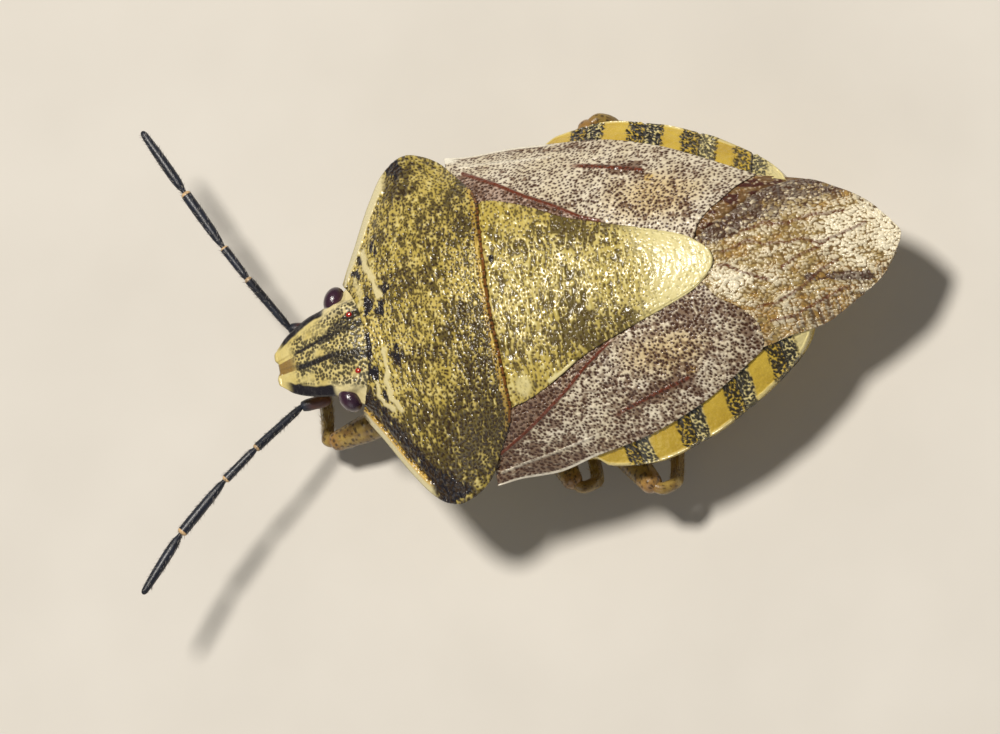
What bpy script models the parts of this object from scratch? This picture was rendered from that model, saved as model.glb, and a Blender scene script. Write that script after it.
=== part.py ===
"""A shield bug at life size, standing still on a level floor on its six feet.

The head points along -Y, the bug's left side is towards +X and its back is up, +Z.
Inside this file a place on the body is (s, t, z) in millimetres: s runs back from the
tip of the head, t goes out to the bug's left, and z goes up from the head's tip.
"""
import math

import bmesh
import bpy
from mathutils import Vector

MM = 0.001
SIDES = {"left": 1, "right": -1}

# Stance: the floor's level, and the middle of the whole box, which becomes the origin
FLOOR_Z = -2.75
MIDDLE_S = 4.736
MIDDLE_T = -0.6

# Clearance between neighbouring pieces, and the thickness of the shell plates
GAP = 0.1
PLATE = 0.5
RIM = 0.2
BEAD = 0.06
VEIN = 0.09

# Body
BODY_TIP_S = 13.03
HUMERAL_S = 3.4
HUMERAL_T = 3.565
SCUTELLUM_BASE_S = 5.07
SCUTELLUM_TIP_S = 9.46
WAIST_S = 5.6
ABDOMEN_TIP_S = 11.3
THORAX_FRONT_S = 2.3
NECK_T = 1.38

# Eyes: middle, half sizes, and how far in each is cut flat against the head
EYE_S = 1.47
EYE_T = 1.0
EYE_Z = 0.42
EYE_HALF_LENGTH = 0.27
EYE_HALF_WIDTH = 0.29
EYE_HALF_HEIGHT = 0.3
EYE_INNER_T = 0.82

# Limb thickness, as radii
FEMUR_R = 0.31
KNEE_R = 0.21
TIBIA_R = 0.24
TARSUS_R = 0.24
CLAW_R = 0.12
FEELER_R = 0.25
NECK_R = 0.17
LIMB_SIDES = 2

# Legs: hip, knee and ankle as (s, t, z), and where the foot points as (s, t)
LEGS = {
    "front_left": ((2.75, 0.95, -1.52), (0.42, 1.32, -1.75), (0.22, -0.2, -2.35), (-0.5, -0.85)),
    "front_right": ((2.75, -0.95, -1.52), (2.1, -2.8, -1.5), (1.7, -1.6, -2.35), (-0.9, 0.45)),
    "middle_left": ((4.35, 1.1, -1.72), (5.22, 3.25, -1.5), (5.45, 1.6, -2.35), (0.8, 0.6)),
    "middle_right": ((4.35, -1.1, -1.72), (5.22, -2.9, -1.5), (5.45, -1.5, -2.35), (0.8, -0.6)),
    "hind_left": ((5.35, 1.15, -1.75), (6.96, 3.77, -0.95), (7.38, 2.1, -2.35), (1.0, 0.25)),
    "hind_right": ((5.35, -1.15, -1.75), (6.74, -3.58, -0.95), (7.2, -1.95, -2.35), (1.0, -0.25)),
}
FOOT_LENGTH = {"front": 1.05, "middle": 1.1, "hind": 1.25}

# Feelers: the joints between the five segments, from root to tip, as (s, t, z)
FEELERS = {
    "left": ((0.8, 0.7, -0.55), (0.18, 0.74, -0.5), (-0.79, 1.48, -0.05),
             (-1.49, 1.99, 0.05), (-2.53, 2.9, 0.2), (-3.47, 3.97, 0.35)),
    "right": ((0.8, -0.72, -0.55), (0.2, -0.88, -0.5), (-0.38, -1.97, -0.05),
              (-0.74, -2.68, 0.05), (-1.31, -3.92, 0.2), (-1.94, -5.31, 0.35)),
}

SHELL = ("shell", (0.52, 0.42, 0.10), 0.35)
WING = ("wing", (0.62, 0.52, 0.42), 0.4)
MEMBRANE = ("membrane", (0.45, 0.32, 0.16), 0.3)
HEAD = ("head", (0.66, 0.55, 0.22), 0.35)
EYE = ("eye", (0.10, 0.04, 0.06), 0.15)
BELLY = ("belly", (0.62, 0.52, 0.20), 0.4)
LEG = ("leg", (0.42, 0.30, 0.10), 0.45)
FEELER = ("feeler", (0.03, 0.035, 0.05), 0.35)


def clear_scene():
    for thing in list(bpy.data.objects):
        bpy.data.objects.remove(thing)


def place(s, t, z):
    """A place on the body in the model's own axes, still in millimetres."""
    return Vector((t - MIDDLE_T, s - MIDDLE_S, z - FLOOR_Z))


def smooth_line(*stations):
    """A smooth line through (place, value) stations that never overshoots them."""
    xs = [x for x, _ in stations]
    ys = [y for _, y in stations]
    slopes = [(ys[i + 1] - ys[i]) / (xs[i + 1] - xs[i]) for i in range(len(xs) - 1)]
    tangents = [slopes[0]]
    for before, after in zip(slopes, slopes[1:]):
        turning = before * after <= 0
        tangents.append(0.0 if turning else 2 * before * after / (before + after))
    tangents.append(slopes[-1])

    def value_at(x):
        x = min(max(x, xs[0]), xs[-1])
        i = max(k for k in range(len(slopes)) if xs[k] <= x)
        width = xs[i + 1] - xs[i]
        f = (x - xs[i]) / width
        rise = f * f * (3 - 2 * f)
        start_bend = f * (1 - f) ** 2 * width * tangents[i]
        end_bend = f * f * (f - 1) * width * tangents[i + 1]
        return ys[i] * (1 - rise) + ys[i + 1] * rise + start_bend + end_bend

    return value_at


def edge_line(*points):
    """A smooth edge through (s, t) points, as a function of the fraction of its length."""
    run = [0.0]
    for (s0, t0), (s1, t1) in zip(points, points[1:]):
        run.append(run[-1] + math.hypot(s1 - s0, t1 - t0))
    along_s = smooth_line(*[(r / run[-1], s) for r, (s, _) in zip(run, points)])
    along_t = smooth_line(*[(r / run[-1], t) for r, (_, t) in zip(run, points)])
    return lambda f: Vector((along_s(f), along_t(f)))


def both_sides(*half):
    """A full edge from the bug's right to its left, from the left half's points, middle first."""
    left = list(half)
    right = [(s, -t) for s, t in reversed(left) if t > 0]
    return edge_line(*right, *left)


def mirrored(line):
    """The same edge on the other side of the body."""
    return lambda f: Vector((line(f)[0], -line(f)[1]))


def stretched(front, hind, first, last):
    """A layout that fills the patch between four edges: u runs front to back, v first to last."""
    corners = first(0), last(0), first(1), last(1)

    def layout(u, v):
        sides = first(u) * (1 - v) + last(u) * v
        ends = front(v) * (1 - u) + hind(v) * u
        tilt = (corners[0] * (1 - v) + corners[1] * v) * (1 - u)
        tilt += (corners[2] * (1 - v) + corners[3] * v) * u
        return sides + ends - tilt

    return layout


def step(x, start, end):
    """A smooth rise from 0 at start to 1 at end."""
    f = min(max((x - start) / (end - start), 0.0), 1.0)
    return f * f * (3 - 2 * f)


# The body's outline from above, the height of its back and the depth of its underside
half_width = smooth_line((1.63, 1.38), (2.04, 2.0), (2.5, 2.78), (2.86, 3.28), (3.4, 3.565),
                         (4.2, 3.36), (5.2, 3.33), (6.3, 3.42), (7.3, 3.48), (8.5, 3.2),
                         (9.5, 2.75), (10.5, 2.13), (11.2, 1.54), (12.0, 1.13), (12.5, 0.81),
                         (12.8, 0.52), (13.03, 0.2))
crest = smooth_line((1.63, 0.95), (2.2, 1.05), (3.0, 1.35), (4.0, 1.7), (4.97, 1.87),
                    (5.5, 1.87), (6.5, 1.8), (7.5, 1.66), (8.6, 1.45), (9.54, 1.27),
                    (10.0, 1.12), (11.0, 0.74), (12.0, 0.3), (13.03, -0.15))
brim = smooth_line((1.63, 0.16), (2.5, 0.4), (3.4, 0.46), (4.2, 0.35), (5.2, 0.16), (6.3, 0.05),
                   (7.3, -0.03), (8.5, -0.07), (9.5, -0.1), (10.5, -0.12), (11.2, -0.1),
                   (12.0, -0.08), (13.03, -0.16))
fullness = smooth_line((1.63, 2.0), (3.4, 2.3), (5.0, 3.0), (6.0, 2.6), (7.2, 2.05), (13.0, 2.0))
keel = smooth_line((1.63, -0.85), (2.3, -1.05), (3.2, -1.35), (4.5, -1.55), (6.0, -1.62),
                   (7.5, -1.6), (9.0, -1.48), (10.2, -1.28), (11.0, -1.08), (11.5, -0.9))
costal_edge = smooth_line((4.17, 3.38), (4.7, 3.33), (5.3, 3.34), (6.3, 3.21), (7.3, 3.07),
                          (8.5, 2.7), (9.5, 2.2), (10.35, 1.72), (11.2, 1.5), (12.0, 1.0))
abdomen_width = smooth_line((5.6, 3.25), (6.3, 3.44), (7.3, 3.5), (8.5, 3.22), (9.5, 2.74),
                            (10.5, 2.08), (10.85, 1.7), (11.0, 1.36), (11.15, 0.95), (11.3, 0.5))


def back(s, t):
    """The height of the back."""
    across = min(abs(t) / half_width(s), 1.0)
    return brim(s) + (crest(s) - brim(s)) * (1 - across ** fullness(s))


def below_back(s, t, depth):
    """The height of a surface that runs under the back, at a depth measured square to it."""
    reach = 0.05
    slope_s = (back(s + reach, t) - back(s - reach, t)) / (2 * reach)
    slope_t = (back(s, t + reach) - back(s, t - reach)) / (2 * reach)
    steepness = math.sqrt(1 + slope_s ** 2 + slope_t ** 2)
    return back(s, t) - depth * min(steepness, 1.45)


def underside(s, t, width):
    """The height of the body's underside, rounded from its keel up to its rim."""
    across = min(abs(t) / width, 1.0)
    low_rim = brim(s) - RIM
    return low_rim + (keel(s) - low_rim) * (1 - across ** 2)


def finish(thing, look):
    name, colour, roughness = look
    material = bpy.data.materials.new(thing.name + "_" + name)
    material.use_nodes = True
    shader = material.node_tree.nodes["Principled BSDF"]
    shader.inputs["Base Color"].default_value = (*colour, 1)
    shader.inputs["Roughness"].default_value = roughness
    shader.inputs["Metallic"].default_value = 0.0
    thing.data.materials.append(material)


def add_mesh(name, bm, look, bug):
    bm.normal_update()
    bmesh.ops.recalc_face_normals(bm, faces=bm.faces)
    bmesh.ops.scale(bm, vec=(MM, MM, MM), verts=bm.verts)
    mesh = bpy.data.meshes.new(name)
    bm.to_mesh(mesh)
    bm.free()
    thing = bpy.data.objects.new(name, mesh)
    bug.objects.link(thing)
    finish(thing, look)
    mesh.shade_smooth()
    mesh.set_sharp_from_angle(angle=math.radians(40))
    return thing


def plate(name, layout, top, under, cells, look, bug):
    """A closed plate: a grid laid out in plan, with a top and an under side over it."""
    bm = bmesh.new()
    along, across = cells
    bmesh.ops.create_grid(bm, x_segments=across, y_segments=along, size=1.0)
    raised = bmesh.ops.extrude_face_region(bm, geom=bm.faces[:])["geom"]
    upper = {v for v in raised if isinstance(v, bmesh.types.BMVert)}
    for v in bm.verts:
        u, w = (v.co.y + 1) / 2, (v.co.x + 1) / 2
        s, t = layout(u, w)
        z = top(s, t, u, w) if v in upper else under(s, t, u, w)
        v.co = place(s, t, z)
    return add_mesh(name, bm, look, bug)


def smooth_route(points, steps):
    """Points along a smooth curve through the given ones, each (s, t, z, radius)."""
    knots = [Vector(p) for p in points]
    knots = [knots[0] * 2 - knots[1], *knots, knots[-1] * 2 - knots[-2]]
    route = []
    for p0, p1, p2, p3 in zip(knots, knots[1:], knots[2:], knots[3:]):
        for k in range(steps):
            f = k / steps
            route.append(0.5 * (2 * p1 + (p2 - p0) * f + (2 * p0 - 5 * p1 + 4 * p2 - p3) * f ** 2
                                + (3 * p1 - p0 - 3 * p2 + p3) * f ** 3))
    route.append(knots[-2])
    return route


def limb(name, points, look, bug, steps=3):
    """A round limb along a smooth route, as thick as each point says."""
    curve = bpy.data.curves.new(name, "CURVE")
    curve.dimensions = "3D"
    curve.bevel_depth = MM
    curve.bevel_resolution = LIMB_SIDES
    curve.use_fill_caps = True
    route = smooth_route(points, steps)
    spline = curve.splines.new("POLY")
    spline.points.add(len(route) - 1)
    for knot, (s, t, z, radius) in zip(spline.points, route):
        knot.co = (*place(s, t, z) * MM, 1)
        knot.radius = radius
    thing = bpy.data.objects.new(name, curve)
    bug.objects.link(thing)
    finish(thing, look)
    return thing


def made_mesh(thing, bug):
    """The limb as a mesh with its caps joined on, in place of the curve."""
    bpy.context.view_layer.update()
    evaluated = thing.evaluated_get(bpy.context.evaluated_depsgraph_get())
    mesh = bpy.data.meshes.new_from_object(evaluated)
    bm = bmesh.new()
    bm.from_mesh(mesh)
    bmesh.ops.remove_doubles(bm, verts=bm.verts, dist=1e-7)
    bm.to_mesh(mesh)
    bm.free()
    name = thing.name
    bpy.data.objects.remove(thing)
    solid = bpy.data.objects.new(name, mesh)
    bug.objects.link(solid)
    return solid


def make_head(bug):
    tip = both_sides((0.0, 0.0), (-0.04, 0.25), (0.03, 0.42))
    rear = both_sides((2.1, 0.0), (2.04, 0.55), (1.88, 0.95))
    cheek = edge_line((0.03, 0.42), (0.25, 0.55), (0.55, 0.68), (0.85, 0.78), (1.1, 0.78),
                      (1.3, EYE_INNER_T - GAP), (1.6, EYE_INNER_T - GAP), (1.75, 0.86), (1.88, 0.95))
    crown = smooth_line((0.0, 0.0), (0.5, 0.3), (1.0, 0.62), (1.5, 0.88), (1.9, 1.02), (2.1, 1.06))
    side = smooth_line((0.0, 0.0), (0.55, 0.24), (0.85, 0.38), (1.2, 0.47), (2.1, 0.5))
    chin = smooth_line((0.0, -0.24), (0.5, -0.5), (1.0, -0.68), (2.1, -0.9))
    width = smooth_line((0.0, 0.42), (0.25, 0.55), (0.55, 0.68), (0.85, 0.79), (2.1, 0.95))
    lip = 0.17

    def top(s, t, u, v):
        across = min(abs(t) / width(s), 1.0)
        groove = BEAD if 0.08 < abs(v - 0.5) < 0.2 and 0.1 < u < 0.5 else 0.0
        return side(s) + (crown(s) - side(s)) * (1 - across ** 2) - groove

    def under(s, t, u, v):
        across = min(abs(t) / width(s), 1.0)
        low = side(s) - lip
        return low + (chin(s) - low) * (1 - across ** 1.2)

    layout = stretched(tip, rear, mirrored(cheek), cheek)
    plate("head", layout, top, under, (16, 14), HEAD, bug)


def make_eyes(bug):
    for side, sign in SIDES.items():
        bm = bmesh.new()
        bmesh.ops.create_uvsphere(bm, u_segments=14, v_segments=9, radius=1.0)
        for v in bm.verts:
            t = max(EYE_T + v.co.x * EYE_HALF_WIDTH, EYE_INNER_T + 0.02 * v.co.x)
            s = EYE_S + v.co.y * EYE_HALF_LENGTH
            v.co = place(s, sign * t, EYE_Z + v.co.z * EYE_HALF_HEIGHT)
        add_mesh("eye_" + side, bm, EYE, bug)


def make_beak(bug):
    under_keel = GAP + 0.2
    limb("beak", ((0.42, 0, -0.72, 0.2), (0.9, 0, -0.95, 0.22), (1.6, 0, -1.12, 0.22),
                  (2.4, 0, keel(2.4) - under_keel, 0.21), (3.4, 0, keel(3.4) - under_keel, 0.2),
                  (4.6, 0, keel(4.6) - under_keel, 0.19), (5.3, 0, keel(5.3) - under_keel, 0.12)),
         FEELER, bug)


def make_feelers(bug):
    for side, joints in FEELERS.items():
        points = [(*joints[0], NECK_R)]
        for start, end in zip(joints, joints[1:]):
            last = end is joints[-1]
            for share, radius in ((0.2, FEELER_R * 0.9), (0.6, FEELER_R), (0.88, FEELER_R * 0.85)):
                points.append((*Vector(start).lerp(Vector(end), share), radius))
            points.append((*end, CLAW_R if last else NECK_R))
        limb("feeler_" + side, points, FEELER, bug, steps=1)


def make_pronotum(bug):
    front = both_sides((2.2, 0.0), (2.13, 0.6), (1.97, 1.0), (1.63, NECK_T))
    hind = both_sides((4.97, 0.0), (5.0, 1.2), (4.97, 2.0), (4.85, 2.35))
    flank = edge_line((1.63, NECK_T), (2.04, 2.0), (2.5, 2.78), (2.86, 3.28), (3.1, 3.48),
                      (HUMERAL_S, HUMERAL_T), (3.7, 3.48), (4.07, 3.25), (4.35, 2.95), (4.85, 2.35))

    def top(s, t, u, v):
        return back(s, t)

    def under(s, t, u, v):
        rim = step(abs(v - 0.5), 0.4, 0.5)
        return below_back(s, t, PLATE - 0.15 * rim)

    plate("pronotum", stretched(front, hind, mirrored(flank), flank), top, under, (16, 22), SHELL, bug)


def scutellum_side():
    return ((SCUTELLUM_BASE_S, 2.1), (5.63, 1.93), (6.13, 1.7), (6.63, 1.42), (7.61, 1.05),
            (8.5, 0.74), (9.05, 0.5), (9.33, 0.27))


def make_scutellum(bug):
    side = scutellum_side()
    front = both_sides((SCUTELLUM_BASE_S, 0.0), (SCUTELLUM_BASE_S + 0.03, 1.2), side[0])
    tip = both_sides((SCUTELLUM_TIP_S, 0.0), side[-1])
    flank = edge_line(*side)

    def top(s, t, u, v):
        return back(s, t)

    def under(s, t, u, v):
        return below_back(s, t, PLATE)

    plate("scutellum", stretched(front, tip, mirrored(flank), flank), top, under, (16, 12), SHELL, bug)


def make_forewings(bug):
    inner = edge_line((SCUTELLUM_BASE_S + 0.05, 2.22), *[(s, t + GAP) for s, t in scutellum_side()[1:6]],
                      (9.15, 0.66))
    outer = edge_line(*[(s, costal_edge(s)) for s in (4.17, 4.7, 5.3, 6.3, 7.3, 8.5, 9.5, 10.35)])
    front = edge_line((SCUTELLUM_BASE_S + 0.05, 2.22), (4.97, 2.42), (4.47, 3.08), (4.17, 3.38))
    hind = edge_line((9.15, 0.66), (9.5, 1.0), (9.95, 1.42), (10.35, 1.72))

    def top(s, t, u, v):
        vein = VEIN if 0.3 < v < 0.45 and u < 0.85 else 0.0
        return back(s, t) - 0.03 + vein

    def under(s, t, u, v):
        return below_back(s, t, PLATE)

    for side, sign in SIDES.items():
        flat = stretched(front, hind, inner, outer)
        layout = flat if sign > 0 else (lambda u, v: Vector((flat(u, v)[0], -flat(u, v)[1])))
        plate("forewing_" + side, layout, top, under, (20, 8), WING, bug)


def membrane_layout(sign):
    """The wing's hind part: base along the leathery part and the scutellum, then out to the tip.

    The right one lies under the left one and is a little smaller where it is covered.
    """
    base = edge_line((10.42, 1.62), (10.05, 1.4), (9.62, 1.0), (9.28, 0.62), (9.5, 0.3), (9.58, 0.0),
                     (9.5, -0.32))
    if sign > 0:
        tip = edge_line((12.9, 0.35), (BODY_TIP_S, 0.0), (12.9, -0.35))
        outer = edge_line((10.42, 1.62), (11.2, 1.5), (12.0, 1.13), (12.5, 0.8), (12.9, 0.35))
        inner = edge_line((9.5, -0.32), (9.95, -0.95), (10.6, -1.35), (11.2, -1.45), (12.0, -1.12),
                          (12.5, -0.8), (12.9, -0.35))
    else:
        tip = edge_line((12.65, 0.35), (12.78, 0.0), (12.65, -0.35))
        outer = edge_line((10.42, 1.62), (11.2, 1.5), (12.0, 1.05), (12.4, 0.72), (12.65, 0.35))
        inner = edge_line((9.5, -0.32), (9.95, -0.75), (10.6, -0.98), (11.2, -1.05), (12.0, -0.9),
                          (12.4, -0.65), (12.65, -0.35))
    flat = stretched(base, tip, outer, inner)
    return lambda u, v: Vector((flat(u, v)[0], sign * flat(u, v)[1]))


def make_membranes(bug):
    veins = 9

    def ridge(u, v):
        return VEIN * (0.5 + 0.5 * math.cos(2 * math.pi * veins * v)) if 0.05 < u < 0.95 else 0.0

    def edge_thinning(s):
        return 0.25 * step(s, 11.5, BODY_TIP_S)

    def upper_top(s, t, u, v):
        return back(s, t) - VEIN + ridge(u, v)

    def upper_under(s, t, u, v):
        return back(s, t) - PLATE + edge_thinning(s)

    plate("membrane_left", membrane_layout(1), upper_top, upper_under, (12, 2 * veins), MEMBRANE, bug)

    inner_edge = smooth_line((9.5, -0.32), (9.95, -0.95), (10.6, -1.35), (11.2, -1.45))

    def covered(s, t):
        """1 where the upper membrane lies over this one, 0 beside it."""
        return step(t - inner_edge(s), -0.4, -GAP) if s < 11.2 else 1.0

    def lower_top(s, t, u, v):
        drop = (PLATE + GAP - edge_thinning(s)) * covered(s, t)
        return back(s, t) - VEIN - drop + ridge(u, v) * (1 - covered(s, t))

    def lower_under(s, t, u, v):
        drop = (PLATE + GAP - edge_thinning(s)) * covered(s, t)
        return back(s, t) - drop - PLATE + edge_thinning(s)

    plate("membrane_right", membrane_layout(-1), lower_top, lower_under, (12, 2 * veins), MEMBRANE, bug)


def make_thorax(bug):
    width = smooth_line((THORAX_FRONT_S, 1.45), (2.7, 2.35), (3.3, 3.0), (4.5, 3.0), (WAIST_S, 3.1))
    hind_s = WAIST_S - GAP

    def layout(u, v):
        s = THORAX_FRONT_S + (hind_s - THORAX_FRONT_S) * u
        return Vector((s, (2 * v - 1) * width(s)))

    def top(s, t, u, v):
        return below_back(s, t, PLATE + GAP)

    def under(s, t, u, v):
        return min(underside(s, t, width(s)), top(s, t, u, v) - 0.25)

    plate("thorax", layout, top, under, (10, 14), BELLY, bug)


def make_abdomen(bug):
    wall = 0.02
    cover_columns = 0.8

    def layout(u, v):
        s = WAIST_S + (ABDOMEN_TIP_S - WAIST_S) * math.sin(u * math.pi / 2) ** 1.1
        outer = abdomen_width(s)
        inner = min(costal_edge(s) + GAP - wall, outer - 4 * wall)
        across = abs(2 * v - 1)
        sign = 1 if v > 0.5 else -1
        if across <= cover_columns + 1e-6:
            return Vector((s, sign * inner * across / cover_columns))
        rim_start = inner + 2 * wall
        share = (across - cover_columns) / (1 - cover_columns) * 2 - 1
        return Vector((s, sign * (rim_start + (outer - rim_start) * max(share, 0.0))))

    def top(s, t, u, v):
        reach = 1.15 if t > 0 else 1.7
        doubled = step(s, 8.9, 9.3) * (1 - step(abs(t), reach, reach + 0.25))
        one_wing = below_back(s, t, PLATE + GAP)
        two_wings = min(one_wing, back(s, t) - 2 * (PLATE + GAP))
        low = one_wing + (two_wings - one_wing) * doubled
        if abs(2 * v - 1) <= cover_columns + 1e-6:
            return low
        open_rim = abdomen_width(s) - costal_edge(s) - GAP
        return low + (back(s, t) - low) * step(open_rim, 0.0, 0.15)

    def under(s, t, u, v):
        return min(underside(s, t, abdomen_width(s)), top(s, t, u, v) - 0.15)

    plate("abdomen", layout, top, under, (22, 20), BELLY, bug)


def make_legs(bug):
    for name, (hip, knee, ankle, aim) in LEGS.items():
        hip, knee, ankle = Vector(hip), Vector(knee), Vector(ankle)
        reach = (knee - hip).normalized()
        bend = (ankle - knee) - reach * (ankle - knee).dot(reach)
        bend.normalize()
        trochanter = hip.lerp(knee, 0.16) + Vector((0, 0, -0.1))
        limb("femur_" + name, ((*hip, 0.3), (*trochanter, 0.25),
                               (*hip.lerp(knee, 0.55), FEMUR_R), (*knee, KNEE_R)), LEG, bug)
        start = knee + reach * GAP
        elbow = knee + reach * 0.29 + bend * 0.22
        shaft = knee + reach * 0.12 + bend * 0.52
        limb("tibia_" + name, ((*start, KNEE_R - 0.02), (*elbow, KNEE_R), (*shaft, KNEE_R),
                               (*shaft.lerp(ankle, 0.5), TIBIA_R), (*ankle, TIBIA_R)), LEG, bug)
        drop = (ankle - shaft).normalized()
        aim = Vector((*aim, 0)).normalized()
        heel = ankle + drop * GAP
        sole = heel + drop * 0.1 + aim * 0.2
        sole.z = FLOOR_Z + 0.16
        toe = sole + aim * FOOT_LENGTH[name.split("_")[0]]
        foot = limb("tarsus_" + name, ((*heel, 0.22), (*sole, TARSUS_R), (*sole.lerp(toe, 0.5), TARSUS_R),
                                       (*toe, CLAW_R)), LEG, bug)
        solid = made_mesh(foot, bug)
        for v in solid.data.vertices:
            v.co.z = max(v.co.z, 0.0)


def build_bug():
    clear_scene()
    bug = bpy.data.collections.new("shield_bug")
    bpy.context.scene.collection.children.link(bug)
    make_head(bug)
    make_eyes(bug)
    make_beak(bug)
    make_feelers(bug)
    make_pronotum(bug)
    make_scutellum(bug)
    make_forewings(bug)
    make_membranes(bug)
    make_thorax(bug)
    make_abdomen(bug)
    make_legs(bug)


build_bug()
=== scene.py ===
"""Dresses the shield bug: every plate, wing, leg and feeler gets its true surface and finish.

As in the solids' own source, a place on the body is (s, t, z) in millimetres: s runs back
from the tip of the head, t goes out to the bug's left, and z goes up from the head's tip.
Marks are placed as the camera sees them, at (a, b): a runs back and b across the picture.
"""
from functools import partial, reduce

import bmesh
import bpy
import numpy as np
from mathutils import Matrix, Vector, kdtree


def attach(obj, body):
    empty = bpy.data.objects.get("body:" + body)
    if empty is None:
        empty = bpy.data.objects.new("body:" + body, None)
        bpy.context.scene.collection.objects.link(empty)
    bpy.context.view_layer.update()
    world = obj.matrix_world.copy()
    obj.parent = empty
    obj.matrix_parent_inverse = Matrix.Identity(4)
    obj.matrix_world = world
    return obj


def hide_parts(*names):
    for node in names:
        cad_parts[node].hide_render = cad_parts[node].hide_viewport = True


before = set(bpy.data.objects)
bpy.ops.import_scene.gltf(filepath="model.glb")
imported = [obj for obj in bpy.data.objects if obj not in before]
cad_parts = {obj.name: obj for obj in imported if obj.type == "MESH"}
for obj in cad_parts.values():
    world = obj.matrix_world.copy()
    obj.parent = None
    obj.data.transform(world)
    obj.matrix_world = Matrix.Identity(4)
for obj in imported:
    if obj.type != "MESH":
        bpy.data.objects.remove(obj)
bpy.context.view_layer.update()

MM = 0.001

# Stance: the floor's level, and the middle of the whole box, as in the solids
FLOOR_Z = -2.75
MIDDLE_S = 4.736
MIDDLE_T = -0.6

# Body
BODY_TIP_S = 13.03
SHOULDER = (3.4, 3.565)
NECK = (1.63, 1.38)
SCUTELLUM_TIP_S = 9.46
CHEST_FRONT_S = 2.0
WAIST_S = 5.6
BELLY_FRONT_S = 5.25
BELLY_TIP_S = 11.3
SUTURES = (6.2, 7.08, 8.25, 9.32, 10.32)
CHEST_SEAMS = (3.45, 4.75)

# How far each plate stands above the body's own line, so that the upper ones cover the lower
PRONOTUM_LIFT = 0.09
SCUTELLUM_LIFT = 0.07
FOREWING_LIFT = 0.03
MEMBRANE_LIFT = -0.02
LOWER_MEMBRANE_LIFT = -0.1
BELLY_LIFT = -0.04
CHEST_LIFT = -0.45

# Eyes: the middle of each, its half axes across and along as (s, t), and its half height
EYE_S = 1.46
EYE_T = 1.01
EYE_Z = 0.44
EYE_ACROSS = (0.115, 0.262)
EYE_ALONG = (0.195, -0.08)
EYE_UP = 0.24
FACET_RADIUS = 0.045
FACET_SWELL = 0.012
OCELLUS = (1.83, 0.58)
OCELLUS_SIZE = (0.062, 0.054, 0.035)

# Legs: hip, knee and ankle as (s, t, z), and where the foot points as (s, t)
LEGS = {
    "front_left": ((2.75, 0.95, -1.52), (0.42, 1.32, -1.75), (0.22, -0.2, -2.35), (-0.5, -0.85)),
    "front_right": ((2.75, -0.95, -1.52), (2.1, -2.8, -1.5), (1.7, -1.6, -2.35), (-0.9, 0.45)),
    "middle_left": ((4.35, 1.1, -1.72), (5.22, 3.25, -1.5), (5.45, 1.6, -2.35), (0.8, 0.6)),
    "middle_right": ((4.35, -1.1, -1.72), (5.22, -2.9, -1.5), (5.45, -1.5, -2.35), (0.8, -0.6)),
    "hind_left": ((5.35, 1.15, -1.75), (6.96, 3.77, -0.95), (7.38, 2.1, -2.35), (1.0, 0.25)),
    "hind_right": ((5.35, -1.15, -1.75), (6.9, -3.69, -0.95), (7.2, -1.95, -2.35), (1.0, -0.25)),
}
FOOT_LENGTH = {"front": 1.05, "middle": 1.1, "hind": 1.25}
HEEL_AND_CLAWS = 0.32
SOLE_HEIGHT = 0.13
TOE_HEIGHT = 0.12
HIND_THIGH_STOUT = 1.12

# Feelers: the joints between the five segments, from root to tip, as (s, t, z)
FEELERS = {
    "left": ((0.8, 0.7, -0.55), (0.18, 0.74, -0.5), (-0.79, 1.48, -0.05),
             (-1.49, 1.99, 0.05), (-2.53, 2.9, 0.2), (-3.47, 3.97, 0.35)),
    "right": ((0.8, -0.72, -0.55), (0.2, -0.88, -0.5), (-0.38, -1.97, -0.05),
              (-0.74, -2.68, 0.05), (-1.31, -3.92, 0.2), (-1.94, -5.31, 0.35)),
}


# Numbers over whole surfaces at once

def smooth_line(*stations):
    """A smooth line through (place, value) stations that never overshoots them."""
    xs, ys = np.array(stations, float).T
    slopes = np.diff(ys) / np.diff(xs)
    before, after = slopes[:-1], slopes[1:]
    total = np.where(before * after > 0, before + after, 1.0)
    inner = np.where(before * after > 0, 2 * before * after / total, 0.0)
    tangents = np.concatenate([slopes[:1], inner, slopes[-1:]])

    def value_at(x):
        x = np.clip(x, xs[0], xs[-1])
        i = np.clip(np.searchsorted(xs, x, side="right") - 1, 0, len(slopes) - 1)
        width = xs[i + 1] - xs[i]
        f = (x - xs[i]) / width
        rise = f * f * (3 - 2 * f)
        start_bend = f * (1 - f) ** 2 * width * tangents[i]
        end_bend = f * f * (f - 1) * width * tangents[i + 1]
        return ys[i] * (1 - rise) + ys[i + 1] * rise + start_bend + end_bend

    return value_at


def unit(x):
    """x, held between 0 and 1."""
    return np.clip(x, 0, 1)


def step(x, start, end):
    """A smooth rise from 0 at start to 1 at end."""
    f = unit((x - start) / (end - start))
    return f * f * (3 - 2 * f)


def fade(x, start, end):
    """A smooth fall from 1 at start to 0 at end."""
    return 1 - step(x, start, end)


def most(*marks):
    """The strongest of some marks, place by place."""
    return reduce(np.maximum, marks)


def band(x, middle, half, soft):
    """1 within half of the middle, falling to 0 over the soft edge."""
    return fade(abs(x - middle), half, half + soft)


def bands(x, middles, half, soft):
    """A band round each of some middles."""
    return most(*[band(x, middle, half, soft) for middle in middles])


def blob(a, b, middle, half_sizes, soft=0.4):
    """1 inside an oval round the middle, falling softly to 0 outside."""
    reach = np.hypot((a - middle[0]) / half_sizes[0], (b - middle[1]) / half_sizes[1])
    return fade(reach, 1 - soft, 1 + soft)


def clouds(a, b, ovals, soft):
    """Soft ovals added up, from the middle, half sizes and strength of each."""
    return sum(strength * blob(a, b, middle, half, soft) for middle, half, strength in ovals)


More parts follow.
